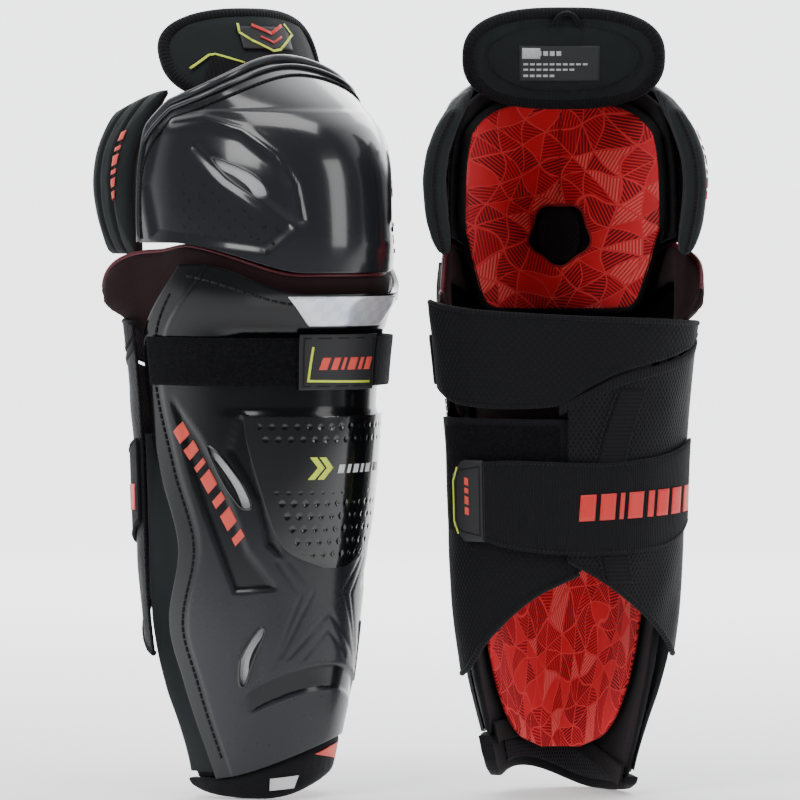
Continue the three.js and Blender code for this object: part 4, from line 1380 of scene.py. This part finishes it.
def thigh_flap(guard):
    columns, rows = 56, 36

    def at(u, v, side):
        a, b = 2 * u - 1, 2 * v - 1
        x, z = flap_share(a, b)
        x, z = x * (FLAP_WIDTH - 3) * 1.06, FLAP_Z + z * (FLAP_HEIGHT - 2) * 1.1
        plump = math.sqrt(clamp(1 - max(abs(a), abs(b)) ** 5, 0.0, 1.0))
        off = 1.0 + 4.4 * plump + 0.35 * ripple(x, z, 14, 21 + side) * plump
        if side == 1:
            off -= 0.9 * bump(max(abs(a), abs(b) * 1.02), 0.80, 0.035)
        return on_flap(x, z, -off if side == 0 else off), (x, z, 0)

    pad = guard.stand_in("thigh_flap", *slab(columns, rows, at), GREY, "", "grey_fabric")
    swell(pad, 1.2, sewn(columns, rows), 3.0)
    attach(pad, guard.prefix + "flap")

    def rim(t):
        a = 2 * math.pi * t

        def rounded(c):
            return math.copysign(abs(c) ** (2 / 2.6), c)

        return on_flap(FLAP_WIDTH * rounded(math.sin(a)), FLAP_Z - FLAP_HEIGHT * rounded(math.cos(a)), 0)

    guard.stand_in("flap_binding", *tube(rim, 4.3, 110, 12, True), RIBBED, "flap", "elastic_webbing")

    def front(x, z, off):
        return on_flap(x, z, -(6.3 + off))

    def back(x, z, off):
        return on_flap(-x, z, 6.3 + off)

    inset = [(-50, 464), (40, 464), (-12, 479), (-40, 483.5)]
    guard.make("flap_inset", *patch(front, inset, 0.6, 24), RIBBED, "flap", "grey_fabric")
    shield = [(-17, 506), (-17.5, 500), (-10, 495), (6, 488), (13, 489), (29, 499), (23, 506)]
    field = [(-17, 489), (26, 489), (26, 504), (-17, 504)]
    guard.stand_in("flap_patch", *patch(front, field, 1.0, 10), RUBBER, "flap", "black_fabric")
    guard.make("flap_outline", *stroke(lifted(front, 1.0), shield, 1.6), LIME, "flap", "grey_fabric")
    raised = lifted(front, 1.1)
    emblem = joined([
        stroke(raised, [(-7, 505), (8, 499.5), (20, 505)], 2.2, thick=0.5),
        stroke(raised, [(-2, 497.5), (8, 493.5), (17, 497.5)], 1.4, thick=0.5),
    ])
    guard.make("flap_emblem", *emblem, RED, "flap", "grey_fabric")
    chevron = [(-54, 476), (-41, 485), (-37, 485.5), (-19, 480)]
    guard.make("flap_chevron", *stroke(lifted(front, 0.8), chevron, 1.3), LIME, "flap", "grey_fabric")

    corners = [(-29, 468), (24, 468), (24, 491), (-29, 491)]
    label = guard.make("flap_label", *patch(back, corners, 0.7, 16), LABEL, "flap", "grey_fabric")
    rows_of_print = [(486, 0.62, 3.0), (479, 0.9, 1.3), (475.5, 0.75, 1.3), (471.5, 0.5, 1.6)]
    pitch, dash = 0.09, 0.065
    marks = []
    for z, share, tall in rows_of_print:
        pattern = [(pitch * i, pitch * i + dash) for i in range(int(share / pitch))]
        start, end = (-26, z - tall / 2), (22, z - tall / 2)
        marks.append(dashes(lifted(back, 0.7), start, end, tall, pattern, 0.0))
    guard.make("label_bars", *joined(marks), GREY_INK, "flap", "grey_fabric")
    corners = [(-27, 482.5), (-15, 482.5), (-15, 489.5), (-27, 489.5)]
    block = patch(lifted(back, 0.75), corners, 0.3, 4)
    guard.make("label_block", *block, GREY_INK, "flap", "grey_fabric")

    def seam(t):
        a = 2 * math.pi * t
        x, z = 0.80 * FLAP_WIDTH * math.sin(a), FLAP_Z - 0.78 * FLAP_HEIGHT * math.cos(a)
        return on_flap(x, z, 6.4)

    stitches(guard, "flap_seam", seam, 96, "flap", 0.62, 0.45, slot="grey_fabric")

    def loop(t):
        a = math.pi * t
        return on_flap(-2 + 8 * math.cos(a), 503 + 9 * math.sin(a), 7.2)

    guard.make("flap_loop", *tube(loop, 1.6, 24, 8), RIBBED, "flap", "elastic_webbing")


# ---------- printed marks on the shell ----------
def shell_marks(guard):
    def skin(x, z, off):
        phi = angle(x)
        return on_shin(phi, z, shin_relief(phi, z) + 0.05 + off)

    bars = [(0, 0.10), (0.15, 0.23), (0.29, 0.33), (0.38, 0.50), (0.56, 0.62), (0.68, 0.80), (0.86, 0.92)]
    marks = dashes(skin, (arc(-78), 240), (arc(-47), 160), 9, bars, -0.3, 0.25)
    guard.make("shell_bars", *marks, CORAL, "shin", "shell_plastic")

    def panel(x, z, off):
        phi = angle(x)
        return on_shin(phi, z, 2.8 + 0.8 * (1 - abs(phi) / 45) + off)

    lime = joined([
        dashes(panel, (-29, 210), (-15, 210), 8, [(0, 0.36), (0.5, 0.86)], 0.9, 0.3),
        dashes(panel, (-22, 217.5), (-8, 217.5), 7, [(0.0, 0.36), (0.5, 0.86)], -0.9, 0.3),
    ])
    guard.make("panel_chevrons", *lime, LIME, "shin", "shell_plastic")
    white = [(0, 0.10), (0.16, 0.22), (0.28, 0.38), (0.44, 0.5), (0.56, 0.68), (0.74, 0.8), (0.86, 1.0)]
    marks = dashes(panel, (-6, 214), (46, 214), 5.5, white, 0.25, 0.3)
    guard.make("panel_bars", *marks, WHITE, "shin", "shell_plastic")


# ---------- stage, light and camera ----------
def studio():
    """Pale floor, big soft lights, and a long lens from the height of the knees."""
    centre = 60  # of the floor, in metres behind the guards
    shader = Shader("floor")
    speckle = shader.blend(shader.noise(30), (0.92, 0.92, 0.93), (0.97, 0.97, 0.97))
    _, depth, _ = shader.split(shader.node("ShaderNodeTexCoord").outputs["Object"])
    # Behind the guards the floor's glow rises to meet the backdrop's. Well in front of them the floor is dark.
    glow = shader.map_range(depth, -0.2 - centre, 2.2 - centre, 0.05, 2.1)
    away = shader.map_range(depth, -0.9 - centre, -0.35 - centre, 0.0, 1.0)
    tone = shader.blend(away, (0.10, 0.10, 0.11), speckle)
    pale = shader.surface(tone, 0.9, Emission_Color=(1.0, 1.0, 1.0))
    shader.feed(shader.out.inputs["Emission Strength"], glow)
    bpy.ops.mesh.primitive_plane_add(size=160, location=(0, centre, -0.0005))
    floor = bpy.context.object
    floor.name = "floor"
    floor.data.materials.append(pale)
    world = bpy.data.worlds.new("studio")
    world.use_nodes = True
    nodes, links = world.node_tree.nodes, world.node_tree.links
    direction = nodes.new("ShaderNodeTexCoord").outputs["Generated"]
    depth = nodes.new("ShaderNodeSeparateXYZ")
    links.new(direction, depth.inputs[0])
    behind = nodes.new("ShaderNodeMapRange")
    links.new(depth.outputs["Y"], behind.inputs[0])
    for index, value in ((1, -0.1), (2, 0.75), (3, 0.10), (4, 3.4)):
        behind.inputs[index].default_value = value
    nodes["Background"].inputs["Color"].default_value = (0.97, 0.98, 1.0, 1)
    links.new(behind.outputs[0], nodes["Background"].inputs["Strength"])
    bpy.context.scene.world = world
    lights = [
        ("key", (-1.1, -1.5, 1.6), (0.9, 1.3), 26),
        ("fill", (1.7, -1.4, 0.9), (0.8, 1.6), 16),
        ("top", (0.1, -0.5, 2.3), (1.6, 0.8), 22),
        ("back", (0.2, 1.8, 1.3), (1.8, 1.0), 22),
    ]
    for name, place, (wide, tall), power in lights:
        data = bpy.data.lights.new(name, "AREA")
        data.shape = "RECTANGLE"
        data.size, data.size_y, data.energy = wide, tall, power
        lamp = bpy.data.objects.new(name, data)
        lamp.location = place
        lamp.rotation_euler = (Vector((0, 0, 0.27)) - Vector(place)).to_track_quat("-Z", "Y").to_euler()
        bpy.context.collection.objects.link(lamp)
    camera_data = bpy.data.cameras.new("camera")
    camera_data.sensor_width = 36
    camera_data.lens = 266.5
    camera = bpy.data.objects.new("camera", camera_data)
    distance, height = 3.9, math.radians(2.2)
    middle = Vector((0.0, 0.0, 0.2585))
    camera.location = middle + Vector((0, -math.cos(height), math.sin(height))) * distance
    camera.rotation_euler = (middle - camera.location).to_track_quat("-Z", "Y").to_euler()
    bpy.context.collection.objects.link(camera)
    bpy.context.scene.camera = camera


studio()
for prefix in GUARDS:
    guard = Guard(prefix)
    shin_hardware(guard)
    knee_hardware(guard)
    shell_marks(guard)
    shin_soft(guard)
    straps(guard)
    wings(guard)
    calf_strap(guard)
    knee_soft(guard)
    thigh_flap(guard)
